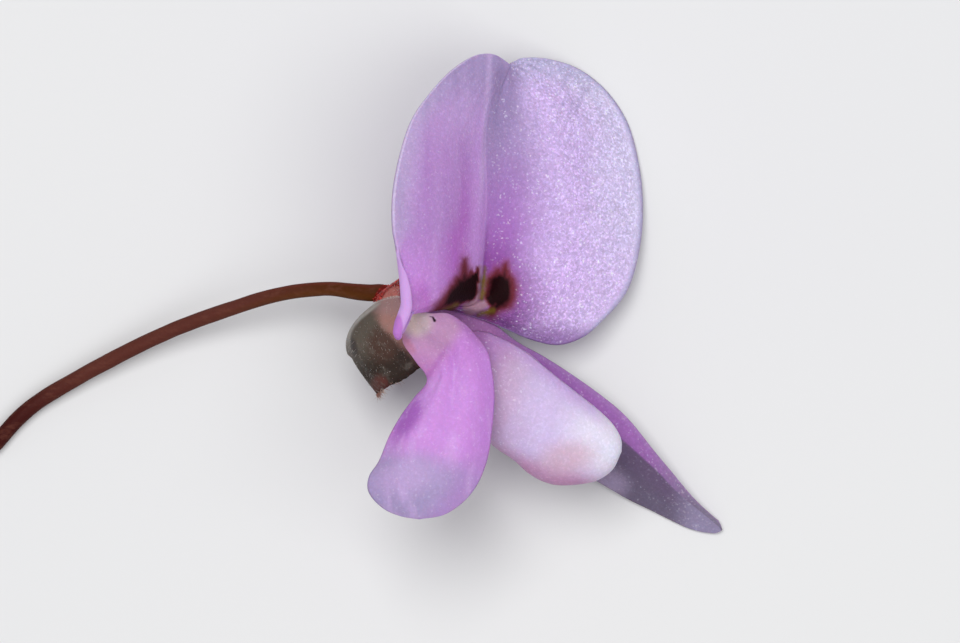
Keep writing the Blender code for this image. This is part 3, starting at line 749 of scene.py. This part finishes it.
# %% Lines and shape of the left wing
WING_LEFT_FOLD = [
    (-2.15, -0.2, 2.4), (-1.3, -0.4, 2.2), (0.3, -0.9, 2.1), (1.95, -1.75, 2.0), (3.55, -2.9, 1.75),
    (4.35, -3.6, 1.55), (4.84, -4.02, 1.38), (5.23, -4.37, 1.25), (5.55, -4.66, 1.14), (5.87, -4.97, 1.02),
    (6.19, -5.32, 0.9), (6.52, -5.64, 0.76), (6.84, -5.91, 0.62), (7.16, -6.17, 0.5), (7.48, -6.43, 0.38),
    (7.87, -6.76, 0.2),
]
WING_LEFT_UPPER = [
    (-2.15, 0.2, 2.4), (-1.3, 0.50, 1.95), (-0.5, 0.38, 1.75), (0.1, 0.16, 1.68), (0.5, -0.1, 1.66),
    (0.81, -0.36, 1.64), (1.13, -0.6, 1.63), (2.1, -1.15, 1.6), (3.06, -1.77, 1.55), (4.03, -2.47, 1.45),
    (4.52, -2.87, 1.38), (4.84, -3.19, 1.32), (5.23, -3.66, 1.24), (5.55, -4.07, 1.16), (5.87, -4.46, 1.06),
    (6.19, -4.84, 0.94), (6.52, -5.24, 0.82), (6.84, -5.62, 0.68), (7.16, -5.95, 0.54), (7.48, -6.24, 0.4),
    (7.78, -6.53, 0.28), (7.87, -6.76, 0.2),
]
WING_LEFT_LOWER = [
    (-2.2, -0.5, 2.4), (-1.3, -1.25, 1.9), (0.0, -2.3, 1.4), (1.3, -3.45, 1.1), (2.6, -4.45, 0.78),
    (3.5, -5.02, 0.54), (4.06, -5.34, 0.4), (4.84, -5.79, 0.25), (5.55, -6.13, 0.17), (6.19, -6.45, 0.14),
    (6.84, -6.74, 0.13), (7.4, -6.86, 0.14), (7.72, -6.86, 0.17), (7.87, -6.76, 0.2),
]
left_lines = (WING_LEFT_FOLD, WING_LEFT_UPPER, WING_LEFT_LOWER)
left_face = blade_grid(left_lines, WING_CLAW_POINTS, len(wing_along) - 1, wing_across, (0.0, 0.0))
u, t = np.meshgrid(wing_across, wing_along)
left_lift = 0.10 * np.sin(np.pi * np.clip(-u, 0, 1)) - 0.14 * np.sin(np.pi * np.clip(u, 0, 1))
uneven = 0.04 * ripples(left_face, 0.8, 13) * ease(u, 0.95, 0.2)
left_face[..., 2] += (left_lift + uneven) * np.sin(np.pi * t)
left_back = left_face - outward(left_face, 4) * PETAL_THICK
wing_left = closed_sheet("wing_left_petal", left_face, left_back, wing_across, wing_along)

# %% [markdown]
# Above the fold runs a magenta strip that greys towards the tip. The face below it is
# painted dark as its shade, darkest under the fold, with painted light in a paler patch under
# the keel and a paler tip.

# %% Paint the left wing
paint = Finish("left wing petal", 0.6, soft=0.1, reach=0.0003, shine=0.2)
x, y = paint.x, paint.y
across, _, back = paint.marks()
strip = layered(
    x.step(4.8, 7.4).blend((0.33, 0.13, 0.42), (0.20, 0.165, 0.25)),
    (across.step(-0.6, -1.0) * 0.4, (0.40, 0.25, 0.50)),
    (x.step(2.2, 0.0), (0.36, 0.15, 0.38)),
)
# painted light under the keel, lifting the inner face where the keel shades it
under = paint.spot((4.2, -5.2), (0.7, 0.6), edges=(1.4, 0.3))
# painted shade of the inner face, darkest under the fold, lighter towards the margin and tip
inside = layered(
    across.step(0.05, 0.80).blend((0.15, 0.10, 0.19), (0.14, 0.112, 0.18)),
    (x.step(6.0, 7.1), (0.29, 0.245, 0.39)),
    (under * across.step(0.3, 0.8), (0.34, 0.27, 0.42)),
)
# faint painted glints on the wing
skin, dome = petal_skin(paint, across.step(-0.04, 0.05).blend(strip, inside), 0.22, 0.18)
skin = (back * 0.5).blend(skin, (0.34, 0.20, 0.44))
left_material = paint.wear(skin, dome * 0.5 + paint.noise(6.0) * 0.5)
dress(wing_left, left_material, "wing_left")

# %% [markdown]
# ## The keel
#
# Two petals grown together into a small boat that holds the stamens. It is almost white at
# its tip, pink along its lower seam, and greyish lilac where the right wing shades it. The
# shell is made from one cross section, an ellipse that is left open along the top, carried
# from the claw to the tip.

# %% Shape the keel
KEEL_UPPER = [
    (-1.55, -0.5, 3.25), (-0.9, -0.3, 3.3), (-0.2, -0.16, 3.4), (0.48, -0.4, 3.4), (1.13, -0.7, 3.4),
    (1.61, -1.0, 3.4), (2.1, -1.42, 3.4), (2.58, -1.82, 3.4), (3.06, -2.2, 3.4), (3.55, -2.6, 3.4),
    (4.03, -3.05, 3.4), (4.33, -3.4, 3.4), (4.56, -3.85, 3.4), (4.58, -4.2, 3.4),
]
KEEL_LOWER = [
    (-1.95, -1.05, 3.25), (-1.2, -1.95, 3.3), (-0.35, -3.1, 3.4), (0.4, -3.98, 3.4), (1.1, -4.5, 3.4),
    (1.65, -4.95, 3.4), (2.35, -5.25, 3.4), (3.1, -5.25, 3.4), (3.8, -5.1, 3.4), (4.3, -4.75, 3.4),
    (4.58, -4.2, 3.4),
]
KEEL_WALL = 0.15
KEEL_FOOT_TURN = 110
KEEL_CLOSING = 56
KEEL_TIP_CLOSING = 11


def keel_grid(inset, along, columns):
    """One skin of the boat, this many millimetres inside the outer one."""
    upper = smooth_path(KEEL_UPPER, along * (1 - inset * 0.12))
    lower = smooth_path(KEEL_LOWER, along * (1 - inset * 0.12))
    grid = np.empty((len(along), columns, 3))
    for row, t in enumerate(along):
        blunt = 1 - t**6
        closing = KEEL_CLOSING * min(1.0, 4.0 * t) + KEEL_TIP_CLOSING * float(ease(t, 0.65, 0.85))
        turn = math.radians(KEEL_FOOT_TURN + closing)
        half_width = blunt**0.5 * min(1.0, 0.92 + 2.5 * t) - inset * blunt
        middle = (upper[row] + lower[row]) / 2
        depth = (lower[row] - upper[row]) / 2
        depth = depth * (1 - min(0.8, inset / max(np.linalg.norm(depth), 1e-6)))
        if inset:
            depth = depth * blunt**0.5
        for column in range(columns):
            angle = turn * (1 - 2 * column / (columns - 1))
            grid[row, column] = middle + depth * math.cos(angle)
            grid[row, column, 2] += half_width * math.sin(angle)
    return grid


keel_along = np.linspace(0.0, 1.0, 81) ** 0.8
keel_across = np.linspace(-1.0, 1.0, 65)
keel_face = keel_grid(0.0, keel_along, len(keel_across))
keel_face = keel_face + outward(keel_face) * 0.04 * ripples(keel_face, 1.2, 21)[..., None]
keel_face[-1] = keel_face[-1].mean(axis=0)
keel_back = keel_grid(KEEL_WALL, keel_along, len(keel_across))
keel = closed_sheet("keel_petal", keel_face, keel_back, keel_across, keel_along)

# %% [markdown]
# The keel takes more light into its skin than the other petals. It whitens towards the tip,
# warms to pink along the low side, and is lilac along the upper seam and darker at the foot.

# %% Paint the keel
paint = Finish("keel petal", 0.5, soft=0.25, reach=0.0005, shine=0.25)
x, y = paint.x, paint.y
_, _, back = paint.marks()
drift = (paint.noise(1.1) - 0.5) * 0.8
base = (x - y * 0.3 + drift * 0.5).step(1.7, 0.5) * y.step(-2.6, -0.9)
tip = paint.spot((4.1, -3.9), (1.5, 1.15), -48, (1.45, 0.35), (x + drift * 0.3, y))
low_side = (0.0 - y - x * 0.30 + drift * 0.15).step(3.55, 4.35)
seam = (y + x * 0.80 + drift * 0.2).step(-0.55, 0.25) * x.step(4.4, 3.4)
keel_foot = (x + drift * 0.1).step(0.40, 0.0) * y.step(-1.3, -0.6)
body = layered(
    (x - y * 0.25 + drift).step(0.9, 2.9).blend((0.51, 0.34, 0.52), (0.62, 0.50, 0.76)),
    (base, (0.42, 0.21, 0.47)),
    (tip, (0.78, 0.71, 0.86)),
    (low_side * (1.0 - tip * 0.75) * 0.9, (0.48, 0.22, 0.41)),
    (paint.spot((2.8, -4.4), (1.0, 0.6), 12, (1.4, 0.3)) * 0.75, (0.63, 0.42, 0.53)),
    (seam * 0.6, (0.54, 0.32, 0.70)),
    (keel_foot * 0.9, (0.33, 0.13, 0.36)),
)
# painted glints, more of them towards the foot of the keel
skin, dome = petal_skin(paint, body, 0.16, x.step(2.8, 1.0) * 0.25 + 0.06)
skin = (back * 0.5).blend(skin, (0.62, 0.55, 0.66))
keel_material = paint.wear(skin, dome * 0.4 + paint.noise(5.0) * 0.6)
dress(keel, keel_material, "keel")

# %% [markdown]
# ## The calyx
#
# The small cup that held the bud is a brownish, half clear skin. It is a lopsided bell:
# its long lower lip ends in a short hairy tooth, and the side across from it is cut back
# under the right wing. A pale rim of painted highlight runs along its lower edge, where the
# skin is seen edge on.

# %% Shape the calyx
CALYX_BASE = np.array((-3.35, 0.8, 3.15))
CALYX_AXIS = np.array((0.62, -0.78, 0.0)) / math.hypot(0.62, 0.78)
CALYX_BELOW = np.array((CALYX_AXIS[1], -CALYX_AXIS[0], 0.0))
CALYX_LIP_AT = (0.0, 0.2, 0.45, 0.6, 0.76, 0.90, 1.0)
CALYX_LIP = (2.66, 2.66, 2.65, 2.60, 2.50, 2.48, 2.52)
CALYX_BELOW_REACH = 2.0
CALYX_ABOVE_REACH = 1.5
CALYX_HALF_WIDTH = 1.55
CALYX_ROUNDING = 3.4
CUT_LIP = 0.45
CUT_FROM = 90.0
CUT_TO = 115.0
CALYX_WALL = 0.08
CALYX_ROWS = 60
CALYX_ROUND = 120


def calyx_grid(inset):
    """One skin of the cup, this many millimetres inside the outer one."""
    grid = np.empty((CALYX_ROWS + 1, CALYX_ROUND, 3))
    for column in range(CALYX_ROUND):
        angle = -2 * math.pi * column / CALYX_ROUND
        down, side = math.cos(angle), math.sin(angle)
        reach = (CALYX_BELOW_REACH if down > 0 else CALYX_ABOVE_REACH) - inset
        lip = float(np.interp(down, CALYX_LIP_AT, CALYX_LIP)) + 0.02 * math.sin(angle * 21.0)
        from_below = math.degrees(math.acos(max(-1.0, min(1.0, down))))
        lip += (CUT_LIP - lip) * float(ease(from_below, CUT_FROM, CUT_TO)) - inset
        for row in range(CALYX_ROWS + 1):
            t = math.pi / 2 * row / CALYX_ROWS
            out = math.sin(t) ** (2 / CALYX_ROUNDING)
            up = (1 - math.cos(t) ** (2 / CALYX_ROUNDING)) * lip
            up += 0.13 * float(ease(up, 0.9, 0.0) * ease(down, -0.3, 0.3))
            shoulder = -0.09 * float(ease(up, 0.85, 1.1)) * max(0.0, down) ** 2
            folds = 0.03 * math.cos(angle * 10.0) * math.sin(min(1.0, up) * math.pi / 2)
            root = 0.10 * (1 - out)
            grid[row, column] = (
                CALYX_BASE
                + CALYX_AXIS * (up + inset)
                + CALYX_BELOW * down * (root + (reach + shoulder + folds) * out)
                + np.array((0.0, 0.0, side)) * (root + (CALYX_HALF_WIDTH - inset + folds) * out)
            )
    return grid


calyx_face = calyx_grid(0.0)
calyx_around = np.cos(np.linspace(0.0, 2 * math.pi, CALYX_ROUND, endpoint=False))
calyx_along = np.linspace(0.0, 1.0, CALYX_ROWS + 1)
calyx_inside = calyx_grid(CALYX_WALL)
calyx = closed_sheet("calyx_cup", calyx_face, calyx_inside, calyx_around, calyx_along, joined=True)

# %% [markdown]
# The calyx is painted in the directions of its own bell: deep runs from the stalk to the lip,
# and below towards the long lip. Its skin is greyish olive, browner in the middle, pinker on
# top and red at the tooth, with painted shade low on its right.

# %% Paint the calyx
COLLAR = (-2.60, 0.53)
paint = Finish("calyx skin", 0.6, soft=0.1, reach=0.0003, shine=0.1)
from_x, from_y = paint.x - CALYX_BASE[0], paint.y - CALYX_BASE[1]
deep = from_x * CALYX_AXIS[0] + from_y * CALYX_AXIS[1]
below = from_x * CALYX_BELOW[0] + from_y * CALYX_BELOW[1]
blots = paint.noise(3.2, 4.0, paint.moved((1.0, 1.0, 2.0)), 0.65)
x, y = paint.x + (blots - 0.5) * 0.25, paint.y + (blots - 0.5) * 0.25
top = (x * 0.9 - y * 0.1).step(-3.35, -2.75) * (y + (x + 3.16) * 1.1).step(-0.35, 0.10)
body = layered(
    (deep + (blots - 0.5) * 0.8).step(0.9, 1.8).blend((0.100, 0.082, 0.066), (0.036, 0.024, 0.019)),
    (paint.spot((-3.12, -0.72), (0.55, 0.66), 0, (1.25, 0.5), (x, y)) * 0.85, (0.075, 0.038, 0.029)),
    (top, y.step(0.0, 0.5).blend((0.33, 0.17, 0.145), (0.32, 0.19, 0.185))),
    # painted shade on the lower right of the bell
    (paint.spot((-2.3, -1.35), (0.45, 0.55), 0, (1.3, 0.5), (x, y)) * 0.4, (0.030, 0.018, 0.016)),
    (paint.spot((-4.10, -0.82), (0.16, 0.40), 15, place=(x, y)) * 0.7, (0.050, 0.040, 0.042)),
    (paint.spot((-3.22, -2.05), (0.32, 0.36), 0, (1.3, 0.5), (x, y)) * 0.85, (0.12, 0.038, 0.032)),
    (blots.step(0.50, 0.72) * 0.35, (0.17, 0.15, 0.13)),
)
print("the calyx has its skin, with", len(paint.tree.nodes), "nodes")

# %% [markdown]
# The pale rim, a painted highlight of the skin seen edge on, follows the outline that the
# bell shows from above. The red, grainy band lies above a shallow curve, with a beige patch
# inside it and a row of pale beads of painted highlight along its edge.

# %% Rim and red band of the calyx
lobe = deep.step(0.35, 0.75) * below.step(1.2, 1.7)
outline = ((below - 0.42) / 1.58).most(0.0) ** CALYX_ROUNDING
outline = outline + (1.03 - deep / 2.5).most(0.0) ** CALYX_ROUNDING
above = paint.z.step(2.7, 3.1) * (paint.y.step(-1.05, -0.5) * 0.8 + 0.2)
# painted highlight: the pale rim, thicker at the lobe
thick = (outline + 0.14).step(0.78, 1.0) * lobe * deep.step(1.25, 0.95) * above
# painted highlight: the thin pale rim where the skin is seen edge on
line = outline.step(0.70, 0.83) * deep.step(1.25, 0.9) * below.step(-0.1, 0.2)
line = line * above * (1.0 - thick * 0.6) * (blots.step(0.3, 0.6) * 0.35 + 0.65)
above_line = paint.y - 0.80 + (paint.x + 2.6) * (paint.x + 2.6) * 0.31
red = above_line.step(-0.01, 0.03) * (paint.z + (blots - 0.5) * 0.8).step(2.5, 3.4)
granules = paint.cells(9.0)
patch = paint.spot(COLLAR, (1.0, 1.0), 0, (0.66, 0.54), (x, y))
# painted highlight: a row of pale beads along the edge of the red band
bead_highlights = above_line.size().step(0.05, 0.02) * paint.x.step(-3.6, -3.5)
flecks = paint.cells(13.0).step(0.17, 0.06) * (deep + (blots - 0.5) * 3.0).step(0.7, 1.4)
body = layered(
    body,
    (thick * 0.55, (0.22, 0.20, 0.19)),
    (line, (0.38, 0.355, 0.33)),
    (red, granules.step(0.15, 0.55).blend((0.38, 0.026, 0.018), (0.16, 0.010, 0.008))),
    (patch * red * 0.9, (0.45, 0.155, 0.13)),
    (bead_highlights * (paint.cells(12.0).step(0.6, 0.2) * 0.6 + 0.3), (0.55, 0.48, 0.44)),
    (flecks * 0.7, (0.40, 0.36, 0.32)),
)
calyx_material = paint.wear(body, blots + granules * red, 0.05)
dress(calyx, calyx_material, "calyx")

# %% [markdown]
# ## The stalk
#
# The thin stalk arches from its cut end to the calyx. It is dark maroon at its far end and
# browner towards the flower, with fine long streaks, and it swells into a rough red collar
# where it meets the calyx.

# %% Shape the stalk
PEDICEL_LINE = [
    (-15.85, -4.1, 0.24), (-14.7, -2.88, 0.3), (-13.05, -1.83, 0.47), (-11.4, -0.95, 0.72),
    (-9.7, -0.17, 1.05), (-8.05, 0.42, 1.45), (-6.4, 0.9, 1.95), (-4.8, 1.05, 2.55),
    (-3.9, 0.95, 2.98), (-3.5, 0.92, 3.12), (-3.2, 0.93, 3.15), (-2.9, 0.86, 3.15),
]


def tube_frames(points, steps):
    """Centres along a line, with two directions across it."""
    centres = smooth_path(points, np.linspace(0.0, 1.0, steps + 1))
    ahead = np.gradient(centres, axis=0)
    ahead /= np.linalg.norm(ahead, axis=1, keepdims=True)
    side = np.cross(ahead, (0.0, 0.0, 1.0))
    side /= np.linalg.norm(side, axis=1, keepdims=True)
    return centres, side, np.cross(side, ahead)


STALK_STEPS = 220
STALK_SIDES = 32
STALK_RADIUS = 0.255
centres, side, up = tube_frames(PEDICEL_LINE, STALK_STEPS)
stalk_along = np.linspace(0.0, 1.0, STALK_STEPS + 1)
stalk_grid = np.empty((STALK_STEPS + 1, STALK_SIDES, 3))
for column in range(STALK_SIDES):
    angle = 2 * math.pi * column / STALK_SIDES
    spoke = side * math.cos(angle) + up * math.sin(angle)
    bumps = np.array([noise.noise(Vector(c * 1.4 + s * 0.8)) for c, s in zip(centres, spoke)])
    radius = STALK_RADIUS - 0.035 * stalk_along + 0.05 * ease(stalk_along, 0.84, 0.97) + 0.012 * bumps
    stalk_grid[:, column] = centres + spoke * radius[:, None]
stalk_grid[..., 2] = np.maximum(stalk_grid[..., 2], 0.0)
stalk_core = centres[:, None, :] + (stalk_grid - centres[:, None, :]) * 0.5
stalk_around = np.cos(np.linspace(0.0, 2 * math.pi, STALK_SIDES, endpoint=False))
stalk = closed_sheet("pedicel_stalk", stalk_grid, stalk_core, stalk_around, stalk_along, joined=True)

# %% [markdown]
# Its noise is stretched along the stalk, which draws fibres. The lower side in the picture is
# browner, the upper side redder, and the end in the calyx gets the grains of the collar.

# %% Paint the stalk
paint = Finish("stalk skin", 0.6, soft=0.05, reach=0.0003, shine=0.08)
around, along, _ = paint.marks()
fibres = paint.noise(5.0, 3.0, paint.moved((0.35, 1.0, 1.0)), 0.6)
grains = paint.cells(9.0)
collar = (paint.oval(COLLAR, (1.0, 1.0)) + (fibres - 0.5) * 0.1).step(0.88, 0.80)
colour = layered(
    along.step(0.05, 0.30).blend((0.048, 0.006, 0.005), (0.098, 0.025, 0.018)),
    (along.step(0.62, 0.92), (0.074, 0.018, 0.003)),
    (fibres.step(0.45, 0.7) * 0.5, (0.13, 0.040, 0.026)),
    (around.step(-0.2, 0.6) * along.step(0.5, 0.85) * 0.5, (0.12, 0.040, 0.008)),
    ((around * -1.0).step(0.4, 0.9) * along.step(0.6, 0.85) * 0.6, (0.14, 0.020, 0.014)),
    (collar, grains.step(0.1, 0.5).blend((0.38, 0.022, 0.015), (0.14, 0.008, 0.006))),
)
stalk_material = paint.wear(colour, fibres * 0.6 + grains * 0.4, 0.03)
dress(stalk, stalk_material, "pedicel")

# %% [markdown]
# ## The stamens and the pistil
#
# They are hidden in the keel, as in the real flower, where ten filaments form a tube round
# the pistil. Their solids already have the right shape, so they keep it and only get a
# finish: pale greenish white with a fine grain.

# %% Paint what the keel holds
for node, base, tinge in (
    ("stamens", (0.66, 0.66, 0.52), (0.80, 0.76, 0.55)),
    ("pistil", (0.36, 0.46, 0.22), (0.52, 0.58, 0.34)),
):
    paint = Finish(node + " tissue", 0.5, soft=0.1)
    grain = paint.noise(6.0, 3.0)
    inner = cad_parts[node]
    inner.data.materials.clear()
    inner.data.materials.append(paint.wear(grain.step(0.35, 0.65).blend(base, tinge), grain))
    print(node, "keeps its solid, with", len(inner.data.polygons), "faces")

# %% [markdown]
# ## Hairs
#
# Short clear hairs stand on the calyx, and coarser ones on its tooth. Each is a thin
# three-sided spike that bends a little. Their roots are picked on the surface with a seeded
# draw, so they are the same every time. Their finish only wanders between two colours.

# %% Grow hairs on a surface
THIRDS = (0.0, 2.094, 4.189)
HAIR_LEAN = 0.35
HAIR_ROOT = 0.03
HAIR_TAPER = 0.85


def mottled(name, roughness, soft, per_mm, edges, colours):
    finish = Finish(name, roughness, soft)
    return finish.wear(finish.noise(per_mm).step(*edges).blend(*colours))


def hairs(name, roots, directions, lengths, radius, seed):
    """Spikes from these roots in one object, each leaning its own way."""
    draw = np.random.default_rng(seed)
    work = bmesh.new()
    for root, direction, length in zip(roots, directions, lengths):
        ahead = Vector(direction).normalized()
        lean = Vector(draw.normal(size=3)) * HAIR_LEAN
        sideways = ahead.orthogonal().normalized()
        over = ahead.cross(sideways)
        rings = []
        for step, share in enumerate((0.0, 0.5, 1.0)):
            middle = Vector(root) - ahead * HAIR_ROOT + (ahead + lean * share) * length * share
            thick = radius * (1.0 - HAIR_TAPER * share)
            rings.append([
                work.verts.new(in_metres(middle + (sideways * math.cos(a) + over * math.sin(a)) * thick))
                for a in THIRDS
            ])
        for first, second in zip(rings, rings[1:]):
            for k in range(3):
                work.faces.new((first[k], first[(k + 1) % 3], second[(k + 1) % 3], second[k]))
        work.faces.new(rings[0][::-1])
        work.faces.new(rings[-1])
    return linked(work, name)

# %% [markdown]
# Fine hairs stand all round the half of the calyx near its lip, more of them close to the
# lip, and lean forward.

# %% Hairs of the calyx
CALYX_HAIRS = 700
greys = ((0.52, 0.45, 0.40), (0.72, 0.66, 0.60))
hair_material = mottled("hair", 0.35, 0.1, 3.0, (0.4, 0.6), greys)
draw = np.random.default_rng(11)
calyx_out = outward(calyx_face)
rows = (CALYX_ROWS * (0.45 + 0.53 * draw.uniform(0.0, 1.0, CALYX_HAIRS) ** 0.7)).astype(int)
columns = draw.integers(0, CALYX_ROUND, CALYX_HAIRS)
roots = calyx_face[rows, columns]
directions = calyx_out[rows, columns] + CALYX_AXIS * 0.8
lengths = draw.uniform(0.04, 0.13, CALYX_HAIRS)
calyx_hairs = hairs("calyx_hairs", roots, directions, lengths, 0.0055, 12)
dress(calyx_hairs, hair_material)

# %% [markdown]
# The tooth has a small brush of coarser, reddish hairs on its edge. A few stand further along
# the lip.

# %% Hairs of the tooth
TOOTH_HAIRS = 130
rusts = ((0.36, 0.16, 0.12), (0.60, 0.46, 0.40))
red_material = mottled("red hair", 0.4, 0.1, 4.0, (0.4, 0.6), rusts)
spread = draw.normal(0.0, 4.0, TOOTH_HAIRS) + 3 + 14 * (draw.uniform(0.0, 1.0, TOOTH_HAIRS) > 0.85)
edge = calyx_face[CALYX_ROWS, -spread.astype(int) % CALYX_ROUND]
roots = edge + draw.normal(0.0, 0.02, (TOOTH_HAIRS, 3))
directions = draw.normal(0.0, 0.5, (TOOTH_HAIRS, 3)) + CALYX_AXIS
tooth_hairs = hairs("tooth_hairs", roots, directions, draw.uniform(0.06, 0.20, TOOTH_HAIRS), 0.010, 14)
dress(tooth_hairs, red_material)

# %% [markdown]
# Where the stalk meets the calyx, a band is rough with red grains. They are small balls on
# points of both surfaces, kept where the band lies and thinning out towards the underside.

# %% Granular collar between stalk and calyx
COLLAR_GRAINS = 320
BALL_POINTS = 42
draw = np.random.default_rng(31)
work = bmesh.new()
places = np.concatenate([calyx_face[1:26].reshape(-1, 3), stalk_grid[-12:].reshape(-1, 3)])
while len(work.verts) < BALL_POINTS * COLLAR_GRAINS:
    centre = places[draw.integers(0, len(places))]
    above_line = centre[1] - 0.80 + 0.31 * (centre[0] + 2.6) ** 2
    arc = math.hypot(centre[0] - COLLAR[0], centre[1] - COLLAR[1])
    in_band = above_line > 0.02 and 0.60 < arc < 0.84 + 0.06 * (centre[1] < 0.9)
    if in_band and centre[2] > draw.uniform(2.5, 3.6):
        size = draw.uniform(0.020, 0.040) * MM
        shape = Matrix.Translation(in_metres(centre)) @ Matrix.Diagonal((size, size, size, 1.0))
        bmesh.ops.create_icosphere(work, subdivisions=2, radius=1.0, matrix=shape)
collar_grains = linked(work, "collar_grains")
reds = ((0.20, 0.006, 0.005), (0.52, 0.028, 0.018))
grain_material = mottled("collar grain", 0.35, 0.1, 5.0, (0.35, 0.65), reds)
dress(collar_grains, grain_material)

# %% [markdown]
# ## The stage
#
# The flower lies on a plain pale table. A broad soft lamp shines from the upper left, a
# weaker one fills the shadows from the lower right, and a weak even sky lights the rest.

# %% Table, lamps and sky
TABLE_HALF = 1.5
LIT_PLACE = (0.004, -0.001, 0.003)
work = bmesh.new()
bmesh.ops.create_grid(work, x_segments=1, y_segments=1, size=TABLE_HALF)
table = linked(work, "table")
whites = ((0.74, 0.74, 0.75), (0.76, 0.76, 0.76))
table.data.materials.append(mottled("table", 0.7, 0.0, 0.02, (0.3, 0.7), whites))


def lamp(name, place, size, watts):
    """A square lamp that points at the flower."""
    light = bpy.data.lights.new(name, "AREA")
    light.size = size
    light.energy = watts
    shown = bpy.data.objects.new(name, light)
    shown.location = place
    aim = Vector(LIT_PLACE) - Vector(place)
    shown.rotation_euler = aim.to_track_quat("-Z", "Y").to_euler()
    bpy.context.scene.collection.objects.link(shown)
    print(name, "at", place, "with", watts, "W")


lamp("key", (-0.07, 0.11, 0.43), 0.24, 1.2)
lamp("fill", (0.16, -0.08, 0.36), 0.30, 0.5)
world = bpy.data.worlds.new("sky")
world.use_nodes = True
sky = world.node_tree.nodes["Background"]
sky.inputs["Color"].default_value = (0.92, 0.93, 0.95, 1.0)
sky.inputs["Strength"].default_value = 0.35
bpy.context.scene.world = world
bpy.context.scene.view_settings.view_transform = "Standard"

# %% [markdown]
# The camera looks straight down on the flower with a long lens, as close-up photographs of
# flowers do, so near and far petals keep their sizes. Its distance gives the photograph's
# scale at the height of the petals.

# %% Camera
PICTURE_WIDTH = 960
PIXELS_PER_MM = 31.0
LENS = 600.0
SENSOR = 36.0
PETAL_HEIGHT = 3.5
camera_data = bpy.data.cameras.new("camera")
camera_data.lens = LENS
camera_data.sensor_width = SENSOR
camera_data.clip_start = 0.01
camera = bpy.data.objects.new("camera", camera_data)
middle_x, middle_y, _ = in_metres((0.0, 0.0, 0.0))
distance = PICTURE_WIDTH / PIXELS_PER_MM * MM * LENS / SENSOR
camera.location = (middle_x, middle_y, distance + PETAL_HEIGHT * MM)
bpy.context.scene.collection.objects.link(camera)
bpy.context.scene.camera = camera
print("the camera is", round(distance, 4), "m above the flower")
